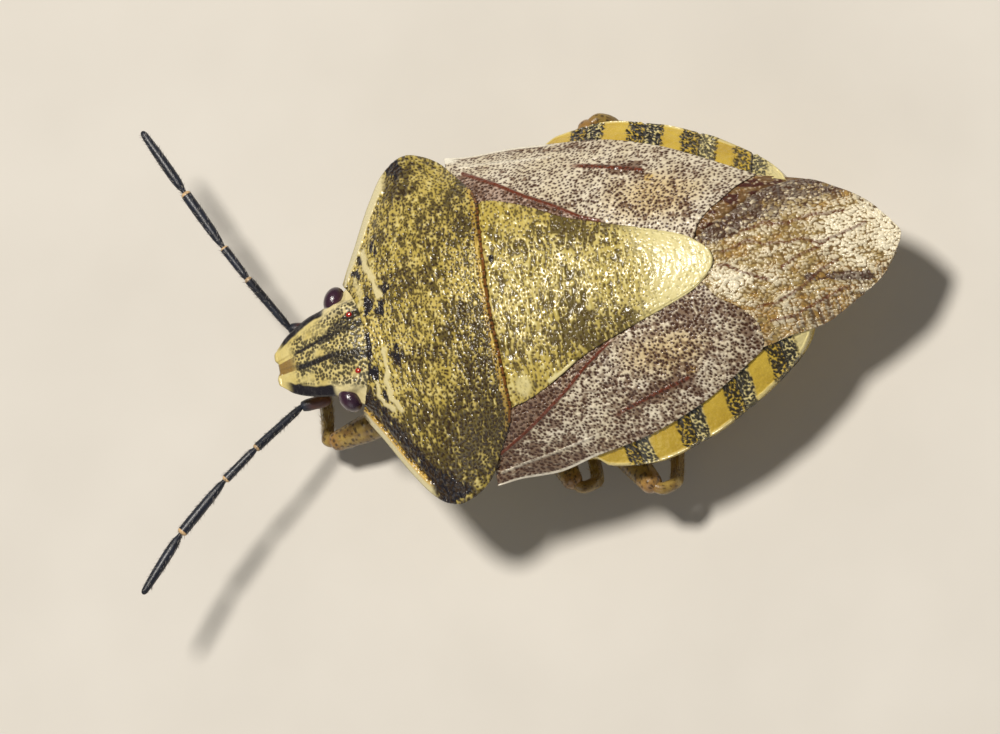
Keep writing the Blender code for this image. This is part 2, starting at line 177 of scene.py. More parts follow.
def edge_line(*points):
    """A smooth edge through (s, t) points, as a function of the fraction of its length."""
    places = np.array(points, float)
    run = np.concatenate([[0.0], np.cumsum(np.hypot(*np.diff(places, axis=0).T))])
    along_s, along_t = [smooth_line(*zip(run / run[-1], places[:, k])) for k in (0, 1)]
    return lambda f: np.array((along_s(f), along_t(f)))


def both_sides(*half):
    """A full edge from the bug's right to its left, from the left half's points, middle first."""
    right = [(s, -t) for s, t in reversed(half) if t > 0]
    return edge_line(*right, *half)


def mirrored(shape):
    """The same edge or layout on the other side of the body."""
    return lambda *at: shape(*at) * np.array((1.0, -1.0)).reshape(2, *[1] * np.ndim(at[0]))


def stretched(front, hind, first, last):
    """A layout that fills the patch between four edges: u runs front to back, v first to last."""
    c00, c01, c10, c11 = [line(np.array(f)).reshape(2, 1) for f in (0.0, 1.0) for line in (first, last)]

    def layout(u, v):
        sides = first(u) * (1 - v) + last(u) * v
        ends = front(v) * (1 - u) + hind(v) * u
        return sides + ends - ((c00 * (1 - v) + c01 * v) * (1 - u) + (c10 * (1 - v) + c11 * v) * u)

    return layout


TABLE = 256  # cells each way before a pattern repeats
SHIFT = 100  # cells, so that no place falls before the first


def cell_of(a, b, size_a, size_b):
    """The cell of a grid that each place is in, and where in the cell it is."""
    x, y = a / size_a + SHIFT, b / size_b + SHIFT
    i, j = np.floor(x).astype(int), np.floor(y).astype(int)
    return i, j, x - i, y - j


def ripple(a, b, size_a, size_b, seed):
    """Smooth random waves from -1 to 1, of those sizes along a and b."""
    table = np.random.default_rng(seed).uniform(-1, 1, (TABLE, TABLE))
    i, j, f, g = cell_of(a, b, size_a, size_b)
    f, g = f * f * (3 - 2 * f), g * g * (3 - 2 * g)
    i0, j0, i1, j1 = i % TABLE, j % TABLE, (i + 1) % TABLE, (j + 1) % TABLE
    low = table[i0, j0] * (1 - f) + table[i1, j0] * f
    high = table[i0, j1] * (1 - f) + table[i1, j1] * f
    return low * (1 - g) + high * g


def dots(a, b, cell_a, cell_b, seed, scatter):
    """Scattered points, one a cell: the distance to the nearest, in cells, and its own number."""
    table = np.random.default_rng(seed).random((TABLE, TABLE, 3))
    i, j, f, g = cell_of(a, b, cell_a, cell_b)
    nearest, number = np.full(f.shape, 9.0), np.zeros(f.shape)
    for di in (-1, 0, 1):
        for dj in (-1, 0, 1):
            draw = table[(i + di) % TABLE, (j + dj) % TABLE]
            distance = np.hypot(f - di - 0.5 - (draw[..., 0] - 0.5) * scatter,
                                g - dj - 0.5 - (draw[..., 1] - 0.5) * scatter)
            closer = distance < nearest
            nearest = np.where(closer, distance, nearest)
            number = np.where(closer, draw[..., 2], number)
    return nearest, number


def pits(a, b, cell_a, cell_b, seed, size, scatter=0.85):
    """Punctures of the shell: their bowls, and the softer stain round each. Size is a share of the cell."""
    nearest, number = dots(a, b, cell_a, cell_b, seed, scatter)
    reach = size * (0.72 + 0.56 * number)
    return fade(nearest, reach * 0.55, reach * 1.15), fade(nearest, reach, reach * 1.9)


def near(a, b, path):
    """Distance to a path of (a, b) points, and how far along it the nearest place is."""
    nearest, share = np.full(np.shape(a), 99.0), np.zeros(np.shape(a))
    legs = list(zip(path, path[1:]))
    for k, ((a0, b0), (a1, b1)) in enumerate(legs):
        da, db = a1 - a0, b1 - b0
        f = unit(((a - a0) * da + (b - b0) * db) / (da * da + db * db))
        distance = np.hypot(a - a0 - f * da, b - b0 - f * db)
        closer = distance < nearest
        nearest = np.where(closer, distance, nearest)
        share = np.where(closer, (k + f) / len(legs), share)
    return nearest, share


def stroke(a, b, core, edge, *path):
    """A line drawn along a path of (a, b) points: 1 out to its core, falling to 0 at its edge."""
    return fade(near(a, b, path)[0], core, edge)


def seen(s, t, z):
    """Where the camera sees a place on the body, with the picture turned so that the body lies level."""
    return 0.968 * s - 0.054 * t - 0.244 * z, 0.976 * t - 0.217 * z


# The body's outline from above, the height of its back and the depth of its underside
half_width = smooth_line(NECK, (2.04, 2.0), (2.5, 2.78), (2.86, 3.28), SHOULDER, (4.2, 3.36), (5.2, 3.33),
                         (6.3, 3.42), (7.3, 3.48), (8.5, 3.2), (9.5, 2.75), (10.5, 2.13), (11.2, 1.54),
                         (12.0, 1.13), (12.5, 0.81), (12.8, 0.52), (BODY_TIP_S, 0.2))
crest = smooth_line((1.63, 0.95), (2.2, 1.05), (3.0, 1.35), (4.0, 1.7), (4.97, 1.87), (5.5, 1.87),
                    (6.5, 1.8), (7.5, 1.66), (8.6, 1.45), (9.54, 1.27), (10.0, 1.12), (11.0, 0.74),
                    (12.0, 0.3), (BODY_TIP_S, -0.15))
brim = smooth_line((1.63, 0.16), (2.5, 0.4), (3.4, 0.46), (4.2, 0.35), (5.2, 0.16), (6.3, 0.05),
                   (7.3, -0.03), (8.5, -0.07), (9.5, -0.1), (10.5, -0.12), (11.2, -0.1),
                   (12.0, -0.08), (BODY_TIP_S, -0.16))
fullness = smooth_line((1.63, 2.0), (3.4, 2.3), (5.0, 3.0), (6.0, 2.6), (7.2, 2.05), (13.0, 2.0))
keel = smooth_line((1.63, -0.85), (2.3, -1.05), (3.2, -1.35), (4.5, -1.55), (6.0, -1.62),
                   (7.5, -1.6), (9.0, -1.48), (10.2, -1.28), (11.0, -1.08), (11.5, -0.9))
costal_edge = smooth_line((4.17, 3.38), (4.7, 3.33), (5.3, 3.34), (6.3, 3.21), (7.3, 3.07),
                          (8.5, 2.7), (9.5, 2.2), (10.35, 1.72), (11.2, 1.5), (12.0, 1.0))
belly_width = smooth_line((5.6, 3.12), (6.15, 3.2), (6.45, 3.4), (7.3, 3.5), (8.5, 3.22), (9.5, 2.74),
                          (10.5, 2.08), (10.85, 1.7), (11.0, 1.36), (11.15, 0.95), (BELLY_TIP_S, 0.5))
chest_width = smooth_line((2.3, 1.45), (2.7, 2.35), (3.3, 3.0), (4.5, 3.0), (WAIST_S, 3.1))


def share_of(width, s, t):
    """How far out (s, t) lies, as a share of that half width."""
    return np.minimum(abs(t) / width(s), 1.0)


def back(s, t):
    """The height of the back."""
    across = share_of(half_width, s, t)
    return brim(s) + (crest(s) - brim(s)) * (1 - across ** fullness(s))


def arc(s, t):
    """How far out (s, t) lies, measured over the curve of the back."""
    steps = 12
    total = np.zeros(np.shape(t))
    height = back(s, 0 * t)
    for k in range(1, steps + 1):
        lower = back(s, t * k / steps)
        total = total + np.hypot(t / steps, lower - height)
        height = lower
    return total * np.sign(t)


def hull(s, across, rim_depth):
    """The depth of the underside, from its rim, that far under the brim, to the keel."""
    rim = brim(s) - rim_depth
    return rim + (keel(s) - rim) * (1 - across ** 2)


# The head's height along its middle and at its sides, the depth of its chin, and its half width
head_crown = smooth_line((0.0, 0.02), (0.5, 0.32), (1.0, 0.64), (1.5, 0.9), (1.9, 1.02), (2.1, 1.02),
                         (2.3, 0.95))
head_side = smooth_line((0.0, 0.0), (0.55, 0.24), (0.85, 0.38), (1.2, 0.47), (2.1, 0.5))
head_chin = smooth_line((0.0, -0.24), (0.5, -0.5), (1.0, -0.68), (2.1, -0.9))
head_width = smooth_line((0.0, 0.42), (0.25, 0.55), (0.55, 0.68), (0.85, 0.79), (1.2, 0.86), (1.4, 0.93),
                         (1.6, 1.05), (1.8, 1.18), (2.1, 1.22))


def head_top(s, t):
    """The height of the head's upper side."""
    across = share_of(head_width, s, t)
    return head_side(s) + (head_crown(s) - head_side(s)) * (1 - across ** 2)


# Meshes

def mesh_of(name, bm):
    """The finished mesh, with what built it freed."""
    mesh = bpy.data.meshes.new(name)
    bm.to_mesh(mesh)
    bm.free()
    return mesh


def grid(bm, along, across):
    """Adds a flat net of that many cells to a mesh in the making, and gives its corners."""
    return bmesh.ops.create_grid(bm, x_segments=across, y_segments=along, size=1.0)["verts"]


def ball(name, subdivisions):
    """A round ball of even triangles, to be put in place and in shape."""
    bm = bmesh.new()
    bmesh.ops.create_icosphere(bm, subdivisions=subdivisions, radius=1.0)
    return mesh_of(name, bm)


def put_in_order(bm):
    """Puts a mesh's faces in the order of their corners, as a raised rim's come in no fixed order."""
    bm.verts.index_update()
    total = len(bm.verts)

    def rank(face):
        first, second, third = sorted(v.index for v in face.verts)[:3]
        return (first * total + second) * total + third

    bm.faces.sort(key=rank)


TOP, UNDER = 0, 3  # the first and last of a sheet's levels, with the rim's between them


def sheet_mesh(name, along, across, coarse):
    """A closed flat box to be laid over the body: a fine top, two rim rows and a coarser under side.

    Each level lies at its own number's depth, by which they are told apart.
    """
    bm = bmesh.new()
    grid(bm, along, across)
    rim = [e for e in bm.edges if e.is_boundary]
    for level in range(TOP + 1, UNDER):
        raised = bmesh.ops.extrude_edge_only(bm, edges=rim)["geom"]
        for v in raised:
            if isinstance(v, bmesh.types.BMVert):
                v.co.z = -level
        rim = [e for e in raised if isinstance(e, bmesh.types.BMEdge) and e.is_boundary]
    for v in grid(bm, along // coarse, across // coarse):
        v.co.z = -UNDER
    inner = [e for e in bm.edges if e.is_boundary and e.verts[0].co.z == -UNDER]
    bmesh.ops.bridge_loops(bm, edges=rim + inner)
    put_in_order(bm)
    bm.normal_update()
    bmesh.ops.recalc_face_normals(bm, faces=bm.faces)
    return mesh_of(name, bm)


def closed(mesh):
    """Joins a mesh's seams and turns its faces outward."""
    bm = bmesh.new()
    bm.from_mesh(mesh)
    bmesh.ops.remove_doubles(bm, verts=bm.verts, dist=2e-8)
    bm.normal_update()
    bmesh.ops.recalc_face_normals(bm, faces=bm.faces)
    bm.to_mesh(mesh)
    bm.free()


def corners(mesh):
    """The mesh's corners as rows of x, y and z."""
    table = np.empty(len(mesh.vertices) * 3)
    mesh.vertices.foreach_get("co", table)
    return table.reshape(-1, 3).T


def set_corners(mesh, s, t, z):
    """Puts the mesh's corners at those places on the body, in the model's own axes."""
    place = np.stack([t - MIDDLE_T, s - MIDDLE_S, z - FLOOR_Z], axis=1) * MM
    mesh.vertices.foreach_set("co", place.ravel())
    mesh.update()


def set_inks(mesh, inks):
    """Stores how strongly each mark covers each corner, for the materials to read."""
    for name, amount in inks.items():
        layer = mesh.attributes.new(name, "FLOAT", "POINT")
        layer.data.foreach_set("value", unit(amount).astype(np.float32))


def add_piece(name, solid, material, mesh):
    """Adds a finished mesh as a piece that stands for that solid, or for a part of it."""
    mesh.shade_smooth()
    mesh.materials.append(material)
    piece = bpy.data.objects.new(name, mesh)
    bpy.context.scene.collection.objects.link(piece)
    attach(piece, "root")
    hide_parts(solid)


INSET = 0.97  # how far in the under side ends
# A plate's rim at each level, out and down from its edge, as shares of the rim's size
RIM_OUT = (0.0, 1.0, 0.4, 0.0)
RIM_DOWN = (0.0, 0.7, 1.8, 0.0)


def plate(name, solid, material, layout, surface, cells, rim, depth, coarse=8, below=None):
    """A plate of the shell: a finely shaped top, a rounded rim, and an under side with its own marks.

    The surface gives the height and the marks at (s, t, u, v), and below the marks underneath.
    The depth is the plate's thickness, or a function for the height of its under side.
    """
    mesh = sheet_mesh(name, *cells, coarse)
    x, y, height = corners(mesh)
    level = np.round(-height).astype(int)
    inset = np.where(level == UNDER, INSET, 1.0)
    u, v = 0.5 + y * inset / 2, 0.5 + x * inset / 2
    s, t = layout(u, v)
    inner_s, inner_t = layout(0.5 + (u - 0.5) * INSET, 0.5 + (v - 0.5) * INSET)
    out_s, out_t = s - inner_s, t - inner_t
    length = np.hypot(out_s, out_t) + 1e-9
    z, inks = surface(s, t, u, v)
    bulge = rim * np.choose(level, RIM_OUT) / length
    under = depth(s, t) if callable(depth) else z - depth
    z = np.where(level == UNDER, under, z - rim * np.choose(level, RIM_DOWN))
    set_corners(mesh, s + out_s * bulge, t + out_t * bulge, z)
    marks = below(s, t) if below else {}
    set_inks(mesh, {mark: np.where(level == UNDER, marks.get(mark, 0.0), inks[mark]) for mark in inks})
    closed(mesh)
    add_piece(name, solid, material, mesh)


# Materials

def feed(tree, target, inputs):
    """Gives each input of a node its number or colour, or the socket that feeds it."""
    for key, value in inputs.items():
        socket = target.inputs[key]
        if isinstance(value, bpy.types.NodeSocket):
            tree.links.new(value, socket)
        else:
            socket.default_value = (*value, 1) if isinstance(value, tuple) else value


def node(tree, kind, inputs, **settings):
    """Adds a node with those inputs and settings."""
    made = tree.nodes.new(kind)
    for key, value in settings.items():
        setattr(made, key, value)
    feed(tree, made, inputs)
    return made


def blended(tree, factor, first, second):
    """A colour mix. Its inputs go by number, as several share a name."""
    return node(tree, "ShaderNodeMix", {0: factor, 6: first, 7: second}, data_type="RGBA").outputs[2]


def noise(tree, size, detail=3.0):
    """Soft random patches of that size in millimetres."""
    place = node(tree, "ShaderNodeTexCoord", {}).outputs["Object"]
    texture = node(tree, "ShaderNodeTexNoise", {"Scale": 1 / (size * MM), "Detail": detail, "Vector": place})
    return texture.outputs["Fac"]


def ranged(tree, value, low, high):
    """A noise's middle values spread over a new range."""
    return node(tree, "ShaderNodeMapRange", {"Value": value, "From Min": 0.3, "From Max": 0.7,
                                             "To Min": low, "To Max": high}).outputs["Result"]


def cuticle(name, ground, shade, inks, gloss, grain=0.05, relief=0.35, coat=0.2, patch=0.5):
    """Shell of that ground colour, clouded with its shade, then the marks, in order, over it."""
    material = bpy.data.materials.new(name)
    material.use_nodes = True
    tree = material.node_tree
    colour = blended(tree, ranged(tree, noise(tree, patch), 0.0, 1.0), ground, shade)
    for mark, ink in inks:
        layer = node(tree, "ShaderNodeAttribute", {}, attribute_name=mark)
        colour = blended(tree, layer.outputs["Fac"], colour, ink)
    fine = noise(tree, grain, 2.0)
    roughness = ranged(tree, fine, gloss - 0.07, gloss + 0.1)
    bump = node(tree, "ShaderNodeBump", {"Strength": relief, "Distance": grain * MM * 0.3, "Height": fine})
    feed(tree, tree.nodes["Principled BSDF"], {
        "Base Color": colour, "Roughness": roughness, "Normal": bump.outputs["Normal"],
        "Coat Weight": coat, "Coat Roughness": 0.18})
    return material


PIT = (0.035, 0.02, 0.008)
INK = (0.012, 0.01, 0.014)


# The pronotum, the broad shield behind the head

PRONOTUM_CLOUDS = (
    ((3.06, -1.17), (0.75, 0.26), 0.8), ((2.75, 0.36), (0.55, 0.2), 0.85), ((3.85, 0.27), (0.6, 0.7), 0.75),
    ((3.8, -2.0), (0.55, 0.55), 0.5), ((3.1, -3.15), (0.4, 0.45), 0.8), ((3.3, 2.3), (0.8, 0.9), 0.95),
    ((3.75, 1.5), (0.5, 0.6), 0.5), ((2.75, 2.95), (0.4, 0.4), 1.0), ((2.4, 1.5), (0.3, 0.35), 0.4))
PRONOTUM_INK = (
    ((1.98, -0.84), (0.1, 0.2), 1), ((2.34, -1.96), (0.1, 0.16), 1), ((1.8, -0.05), (0.12, 0.26), 1),
    ((1.82, 0.5), (0.1, 0.3), 1), ((2.36, 0.22), (0.1, 0.22), 1), ((2.38, -1.12), (0.16, 0.1), 1),
    ((1.9, -1.5), (0.1, 0.13), 1), ((1.97, 1.0), (0.05, 0.16), 1), ((2.22, -0.75), (0.1, 0.16), 1),
    ((2.72, 3.05), (0.3, 0.34), 1), ((3.02, 3.12), (0.2, 0.16), 1), ((3.08, -3.42), (0.2, 0.2), 1),
    ((2.0, -1.78), (0.06, 0.12), 1))
LEFT_RIM_SEEN = ((1.62, 0.98), (1.95, 1.62), (2.3, 2.3), (2.6, 2.8))


def pronotum_surface(s, t, u, v):
    out = arc(s, t)
    z = back(s, t) + PRONOTUM_LIFT * step(s, 2.4, 4.4)
    a, b = seen(s, t, z)
    margin = (half_width(s) - abs(t)) * 0.55
    ahead = fade(s, 2.8, 2.98)
    reach = np.where(t > 0, 0.1, 0.17)
    rim = fade(margin, reach - 0.02, reach + 0.04) * ahead * step(s, 1.63, 1.8)
    groove = band(margin, reach + 0.07, 0.01, 0.04) * ahead
    a, b = a + 0.035 * ripple(s, out, 0.12, 0.12, 12), b + 0.035 * ripple(s, out, 0.12, 0.12, 13)
    callus = most(stroke(a, b, 0.02, 0.07, (2.12, 0.08), (2.1, 0.4), (2.05, 0.72), (2.06, 1.05), (2.2, 1.35)),
                  stroke(a, b, 0.015, 0.06, (1.86, 0.7), (1.84, 0.95), (1.9, 1.15), (2.06, 1.28)),
                  stroke(a, b, 0.03, 0.09, (2.1, -1.9), (2.12, -1.6), (2.2, -1.3), (2.26, -1.0)),
                  0.7 * stroke(a, b, 0.02, 0.08, (1.86, -1.35), (1.9, -1.1), (1.86, -0.9)))
    bare = 1 - most(rim, callus)
    ragged = 0.03 * ripple(s, out, 0.15, 0.2, 3)
    worm = ripple(s + ragged, out, 0.048, 0.15, 5) + 0.6 * ripple(s, out + ragged, 0.034, 0.07, 6)
    zone = clouds(a, b, PRONOTUM_CLOUDS, 0.55) + 1.1 * stroke(a, b, 0.1, 0.3, *LEFT_RIM_SEEN)
    zone = zone + 0.5 * step(s, 4.2, 4.7) * step(abs(t), 0.8, 2.0)
    zone = np.minimum(zone, 1.25) + 0.3 * ripple(s, out, 0.4, 0.4, 8) + 0.25 * ripple(s, out, 0.16, 0.16, 9)
    hole, halo = pits(s + ragged, out + ragged, 0.066, 0.078, 7, 0.27 + 0.21 * unit(zone), 0.95)
    hole = hole * bare
    gold = most(band(margin, 0.13, 0.03, 0.05) * ahead * (t > 0), 0.6 * band(u, 0.975, 0.01, 0.015))
    patch = clouds(a, b, PRONOTUM_INK, 0.5) + 0.9 * stroke(a, b, 0.06, 0.2, *LEFT_RIM_SEEN)
    ink = step(1.5 * patch - 0.7 * worm, 0.7, 1.1) * bare
    glitter = most(ink, 0.5 * step(zone, 0.5, 1.0)) * ripple(s, out, 0.04, 0.04, 14)
    z = z + 0.05 * rim - 0.03 * groove + 0.015 * callus + 0.013 * worm * bare + 0.01 * glitter
    return z - 0.015 * hole - 0.03 * step(u, 0.985, 1.0), {
        "dark": 0.86 * most(step(1.05 * zone - 1.3 * worm, 0.15, 0.7), 0.5 * halo) * bare,
        # The light mark makes the wrinkle crests a paler yellow: partly their own colour, partly painted
        # highlight on their tops.
        "light": 0.8 * step(worm - 0.12 * zone, 0.4, 0.85) * (1 - 0.7 * halo),
        # The rust line along the hind edge is painted shade where the edge rolls down over the plates behind,
        # in a dark brown that is partly the edge's own colour.
        "pale": most(0.8 * callus, rim), "gold": 0.8 * gold, "rust": step(u, 0.99, 0.995),
        "pit": hole, "ink": ink}


def make_pronotum():
    front = both_sides((2.16, 0.0), (2.09, 0.6), (1.93, 1.0), NECK)
    hind = both_sides((4.97, 0.0), (5.0, 1.2), (4.97, 2.0), (4.85, 2.35))
    flank = edge_line(NECK, (2.04, 2.0), (2.5, 2.78), (2.86, 3.28), (3.1, 3.48), SHOULDER, (3.7, 3.48),
                      (4.07, 3.25), (4.35, 2.95), (4.85, 2.35))
    # Its dark rust colour paints the shade along the hind edge.
    material = cuticle("shell_yellow_olive", (0.58, 0.45, 0.13), (0.42, 0.32, 0.06),
                       [("light", (0.7, 0.6, 0.25)), ("dark", (0.042, 0.029, 0.009)),
                        ("pale", (0.68, 0.6, 0.34)), ("gold", (0.58, 0.36, 0.06)), ("ink", INK),
                        ("rust", (0.2, 0.075, 0.015)), ("pit", PIT)], 0.24, coat=0.12)
    plate("pronotum_shell", "pronotum", material, stretched(front, hind, mirrored(flank), flank),
          pronotum_surface, cells=(210, 445), rim=0.035, depth=0.3)


# The scutellum, the long triangle between the wings

SCUTELLUM_SIDE = ((4.93, 2.12), (5.3, 2.05), (5.63, 1.93), (6.13, 1.7), (6.63, 1.42), (7.61, 1.05),
                  (8.5, 0.76), (9.05, 0.54), (9.36, 0.3))
SCUTELLUM_CLOUDS = (((6.3, -1.42), (0.95, 0.3), 0.9), ((6.25, 0.62), (0.9, 0.36), 0.95),
                    ((5.9, -0.25), (0.5, 0.45), 0.5))
SCUTELLUM_SPOTS = (((4.82, -1.74), (0.16, 0.2), 0.75), ((5.2, -1.3), (0.2, 0.15), 0.6),
                   ((4.7, 0.45), (0.25, 0.5), 0.45))


def scutellum_surface(s, t, u, v):
    out = arc(s, t)
    z = back(s, t) + SCUTELLUM_LIFT - 0.1 * fade(s, 4.93, 5.1)
    a, b = seen(s, t, z)
    hind = step(a + 0.25 * abs(b + 0.35), 7.2, 8.1)
    ragged = 0.04 * ripple(s, out, 0.2, 0.2, 21)
    worm = ripple(s + ragged, out, 0.055, 0.17, 22) + 0.6 * ripple(s, out, 0.04, 0.08, 23)
    callus = most(stroke(a, b, 0.02, 0.06, (5.2, 1.4), (5.5, 1.28), (5.75, 1.14)),
                  0.7 * blob(a, b, (4.68, 1.38), (0.16, 0.22)))
    bare = 1 - most(callus, 0.9 * hind)
    zone = clouds(a, b, SCUTELLUM_CLOUDS, 0.6) + clouds(a, b, SCUTELLUM_SPOTS, 0.4)
    zone = zone - 0.12 + 0.3 * ripple(s, out, 0.35, 0.3, 26)
    hole, halo = pits(s + ragged, out, 0.078, 0.092, 24, 0.25 + 0.13 * unit(zone))
    hole = hole * bare
    few = pits(s, out, 0.17, 0.17, 25, 0.17)[0] * step(hind, 0.5, 0.9)
    zone = zone - 0.35 * blob(a, b, (4.75, -2.1), (0.3, 0.4))
    swell = 0.016 * worm * (1 - 0.85 * hind) + 0.012 * ripple(s, out, 0.12, 0.16, 27) * (1 - 0.6 * hind)
    edge = bands(v, (0.0, 1.0), 0.01, 0.02) * step(s, 5.2, 5.6)
    z = z + swell * (1 - callus) + 0.02 * callus - 0.015 * hole - 0.006 * few - 0.02 * edge
    return z, {
        "dark": 0.85 * most(step(1.15 * zone - 1.1 * worm, 0.1, 0.7), 0.4 * halo) * bare,
        # The light mark makes the wrinkle crests a paler yellow: partly their own colour, partly painted
        # highlight on their tops.
        "light": 0.7 * step(worm - 0.4 * zone, 0.4, 0.9) * (1 - halo),
        # The pits are inked fainter in the middle, as painted sheen where the shell shines.
        "pit": (0.9 - 0.35 * blob(a, b, (6.4, -0.4), (1.3, 0.5), 0.6)) * hole + 0.3 * few,
        "ink": step(1.4 * blob(a, b, (4.6, -1.22), (0.06, 0.08)) - 0.3 * worm, 0.6, 0.9),
        "pale": most(hind, callus) * 0.85, "gold": step(abs(t) - 0.1 * s, 0.2, 1.0) * 0.4}


def make_scutellum():
    side = edge_line(*SCUTELLUM_SIDE)
    front = both_sides((4.86, 0.0), (4.9, 1.2), SCUTELLUM_SIDE[0])
    tip = both_sides((SCUTELLUM_TIP_S + 0.03, 0.0), (SCUTELLUM_TIP_S, 0.14), SCUTELLUM_SIDE[-1])
    material = cuticle("scutellum_yellow", (0.6, 0.49, 0.17), (0.47, 0.37, 0.09),
                       [("gold", (0.48, 0.35, 0.04)), ("light", (0.7, 0.62, 0.28)),
                        ("dark", (0.06, 0.04, 0.01)), ("pale", (0.74, 0.66, 0.33)), ("ink", INK),
                        ("pit", (0.07, 0.042, 0.012))], 0.22)
    plate("scutellum_shell", "scutellum", material, stretched(front, tip, mirrored(side), side),
          scutellum_surface, cells=(400, 230), rim=0.03, depth=0.3)


# The forewings: the leathery front part of each. The left one is darker, with a closer net

COSTAL_PLACES = (4.17, 4.7, 5.3, 6.3, 7.3, 8.5, 9.3)
WINGS = {
    "left": {
        "sign": 1, "end": 9.97, "rim": (0.975, 0.992), "murk": 0.38, "net": 0.75, "plum": 0.25,
        "pale_rim": 0.6,
        "hind": ((9.1, 0.22), (9.42, 0.78), (9.72, 0.99), (9.95, 1.21), (10.06, 1.45), (10.06, 1.65),
                 (9.97, 1.88)),
        "claval": ((3.95, 2.62), (4.5, 2.32), (5.0, 2.0), (5.5, 1.65), (6.0, 1.25), (6.7, 0.8)),
        "cross": ((6.2, 2.4), (6.7, 2.25), (7.25, 2.1), (7.9, 1.95)),
        "ridge": ((3.9, 2.98), (4.5, 2.88), (5.0, 2.82), (5.8, 2.68)),
        "clouds": (((8.3, 0.75), (0.9, 0.35), 0.5), ((7.4, 2.0), (0.7, 0.25), 0.35)),
        "blotch": ((7.3, 2.1), (0.5, 0.09)), "spot": (8.0, 1.8), "gold": (7.6, 1.35)},
    "right": {
        "sign": -1, "end": 10.42, "rim": (0.965, 0.985), "murk": -0.05, "net": 0.3, "plum": 0.6,
        "pale_rim": 0.9,
        "hind": ((9.1, 0.22), (9.29, 0.74), (9.5, 1.0), (9.8, 1.24), (10.05, 1.46), (10.42, 1.68)),
        "claval": ((4.42, -3.0), (5.0, -2.65), (5.5, -2.3), (6.0, -2.0), (6.5, -1.65), (7.0, -1.42)),
        "cross": ((6.4, -2.72), (6.9, -2.6), (7.6, -2.4), (7.9, -2.3)),
        "ridge": ((4.4, -3.14), (5.0, -3.08), (5.7, -3.0), (6.2, -2.95)),
        "clouds": (((6.0, -2.1), (0.9, 0.35), 0.5), ((8.0, -1.75), (0.7, 0.25), 0.35)),
        "blotch": ((7.62, -2.4), (0.4, 0.1)), "spot": (8.0, -2.12), "gold": (8.0, -1.75)},
}


def wing_surface(wing, s, t, u, v):
    sign, claval = wing["sign"], wing["claval"]
    out = arc(s, t)
    z = back(s, t) + FOREWING_LIFT - 0.1 * fade(u, 0.0, 0.03) * fade(v, 0.7, 0.95)
    z = z - 0.06 * fade(v, 0.0, 0.08) * fade(u, 0.88, 0.97)
    a, b = seen(s, t, z)
    line, share = near(a, b, claval)
    claval_vein = fade(line, 0.022, 0.055) * fade(share, 0.93, 1.0)
    line, share = near(a, b, wing["cross"])
    cross_vein = fade(line, 0.02, 0.06) * step(share, 0.0, 0.25)
    cross_stain = fade(line, 0.05, 0.28) * step(share, 0.1, 0.5)
    ridge = stroke(a, b, 0.01, 0.035, *wing["ridge"])
    rim = step(v, *wing["rim"]) * fade(s, 6.0, 6.8)
    root = fade(np.hypot(a - 4.05, b + 3.35), 0.15, 0.45) * step(v, 0.86, 0.94) * (sign < 0)
    along, over = s + 0.21 * (abs(t) - 2), out - 0.3 * s * sign
    bend = 0.025 * ripple(s, out, 0.2, 0.2, 31)
    worm = ripple(along, over, 0.09, 0.075, 35) + 0.6 * ripple(s, out, 0.045, 0.045, 36)
    inside = (b - np.interp(a, *zip(*claval))) * -sign
    clavus = step(inside, 0.0, 0.05) * fade(a, 6.9, 7.3)
    zone = 0.4 * ripple(s, out, 0.45, 0.35, 34) + 0.4 * ripple(s, out, 0.17, 0.2, 38) + 0.75 * clavus
    zone = zone + wing["murk"] + 0.8 * cross_stain + 0.8 * fade(a, 4.4, 5.8) * (sign > 0)
    zone = zone + 0.5 * step(v, 0.86, 0.93) * fade(s, 7.0, 7.8) + clouds(a, b, wing["clouds"], 0.6)
    bare = 1 - most(0.5 * claval_vein, 0.5 * ridge, 0.9 * rim, root)
    hole, halo = pits(along + bend, over + bend, 0.076, 0.076, 32 + sign, 0.33 + 0.15 * unit(zone), 0.95)
    hole = hole * bare
    cells = dots(s + 2 * bend, out, 0.15, 0.13, 39, 0.9)[0]
    net = step(cells + 0.15 * worm, 0.45, 0.7) * np.clip(wing["net"] + 0.4 * zone, 0, 0.9)
    stain = most(step(zone - 0.9 * worm, 0.4, 1.05), (0.35 + 0.4 * unit(zone)) * halo, net) * bare
    blotch = step(1.2 * blob(a, b, *wing["blotch"], 0.6) - 0.5 * worm, 0.5, 0.9)
    swell = 0.012 * worm + 0.006 * ripple(s, out, 0.14, 0.14, 37)
    z = z + 0.03 * claval_vein + 0.016 * cross_vein + 0.02 * ridge + swell * bare - 0.014 * hole
    return z, {
        "dark": 0.85 * most(stain, blotch), "plum": wing["plum"] * clavus, "pit": hole,
        "vein": most(claval_vein, cross_vein), "pale": most(wing["pale_rim"] * rim, 0.3 * ridge, root),
        "gold": most(0.9 * blob(a, b, wing["spot"], (0.12, 0.08)),
                     0.5 * blob(a, b, wing["gold"], (0.8, 0.4), 0.6))}


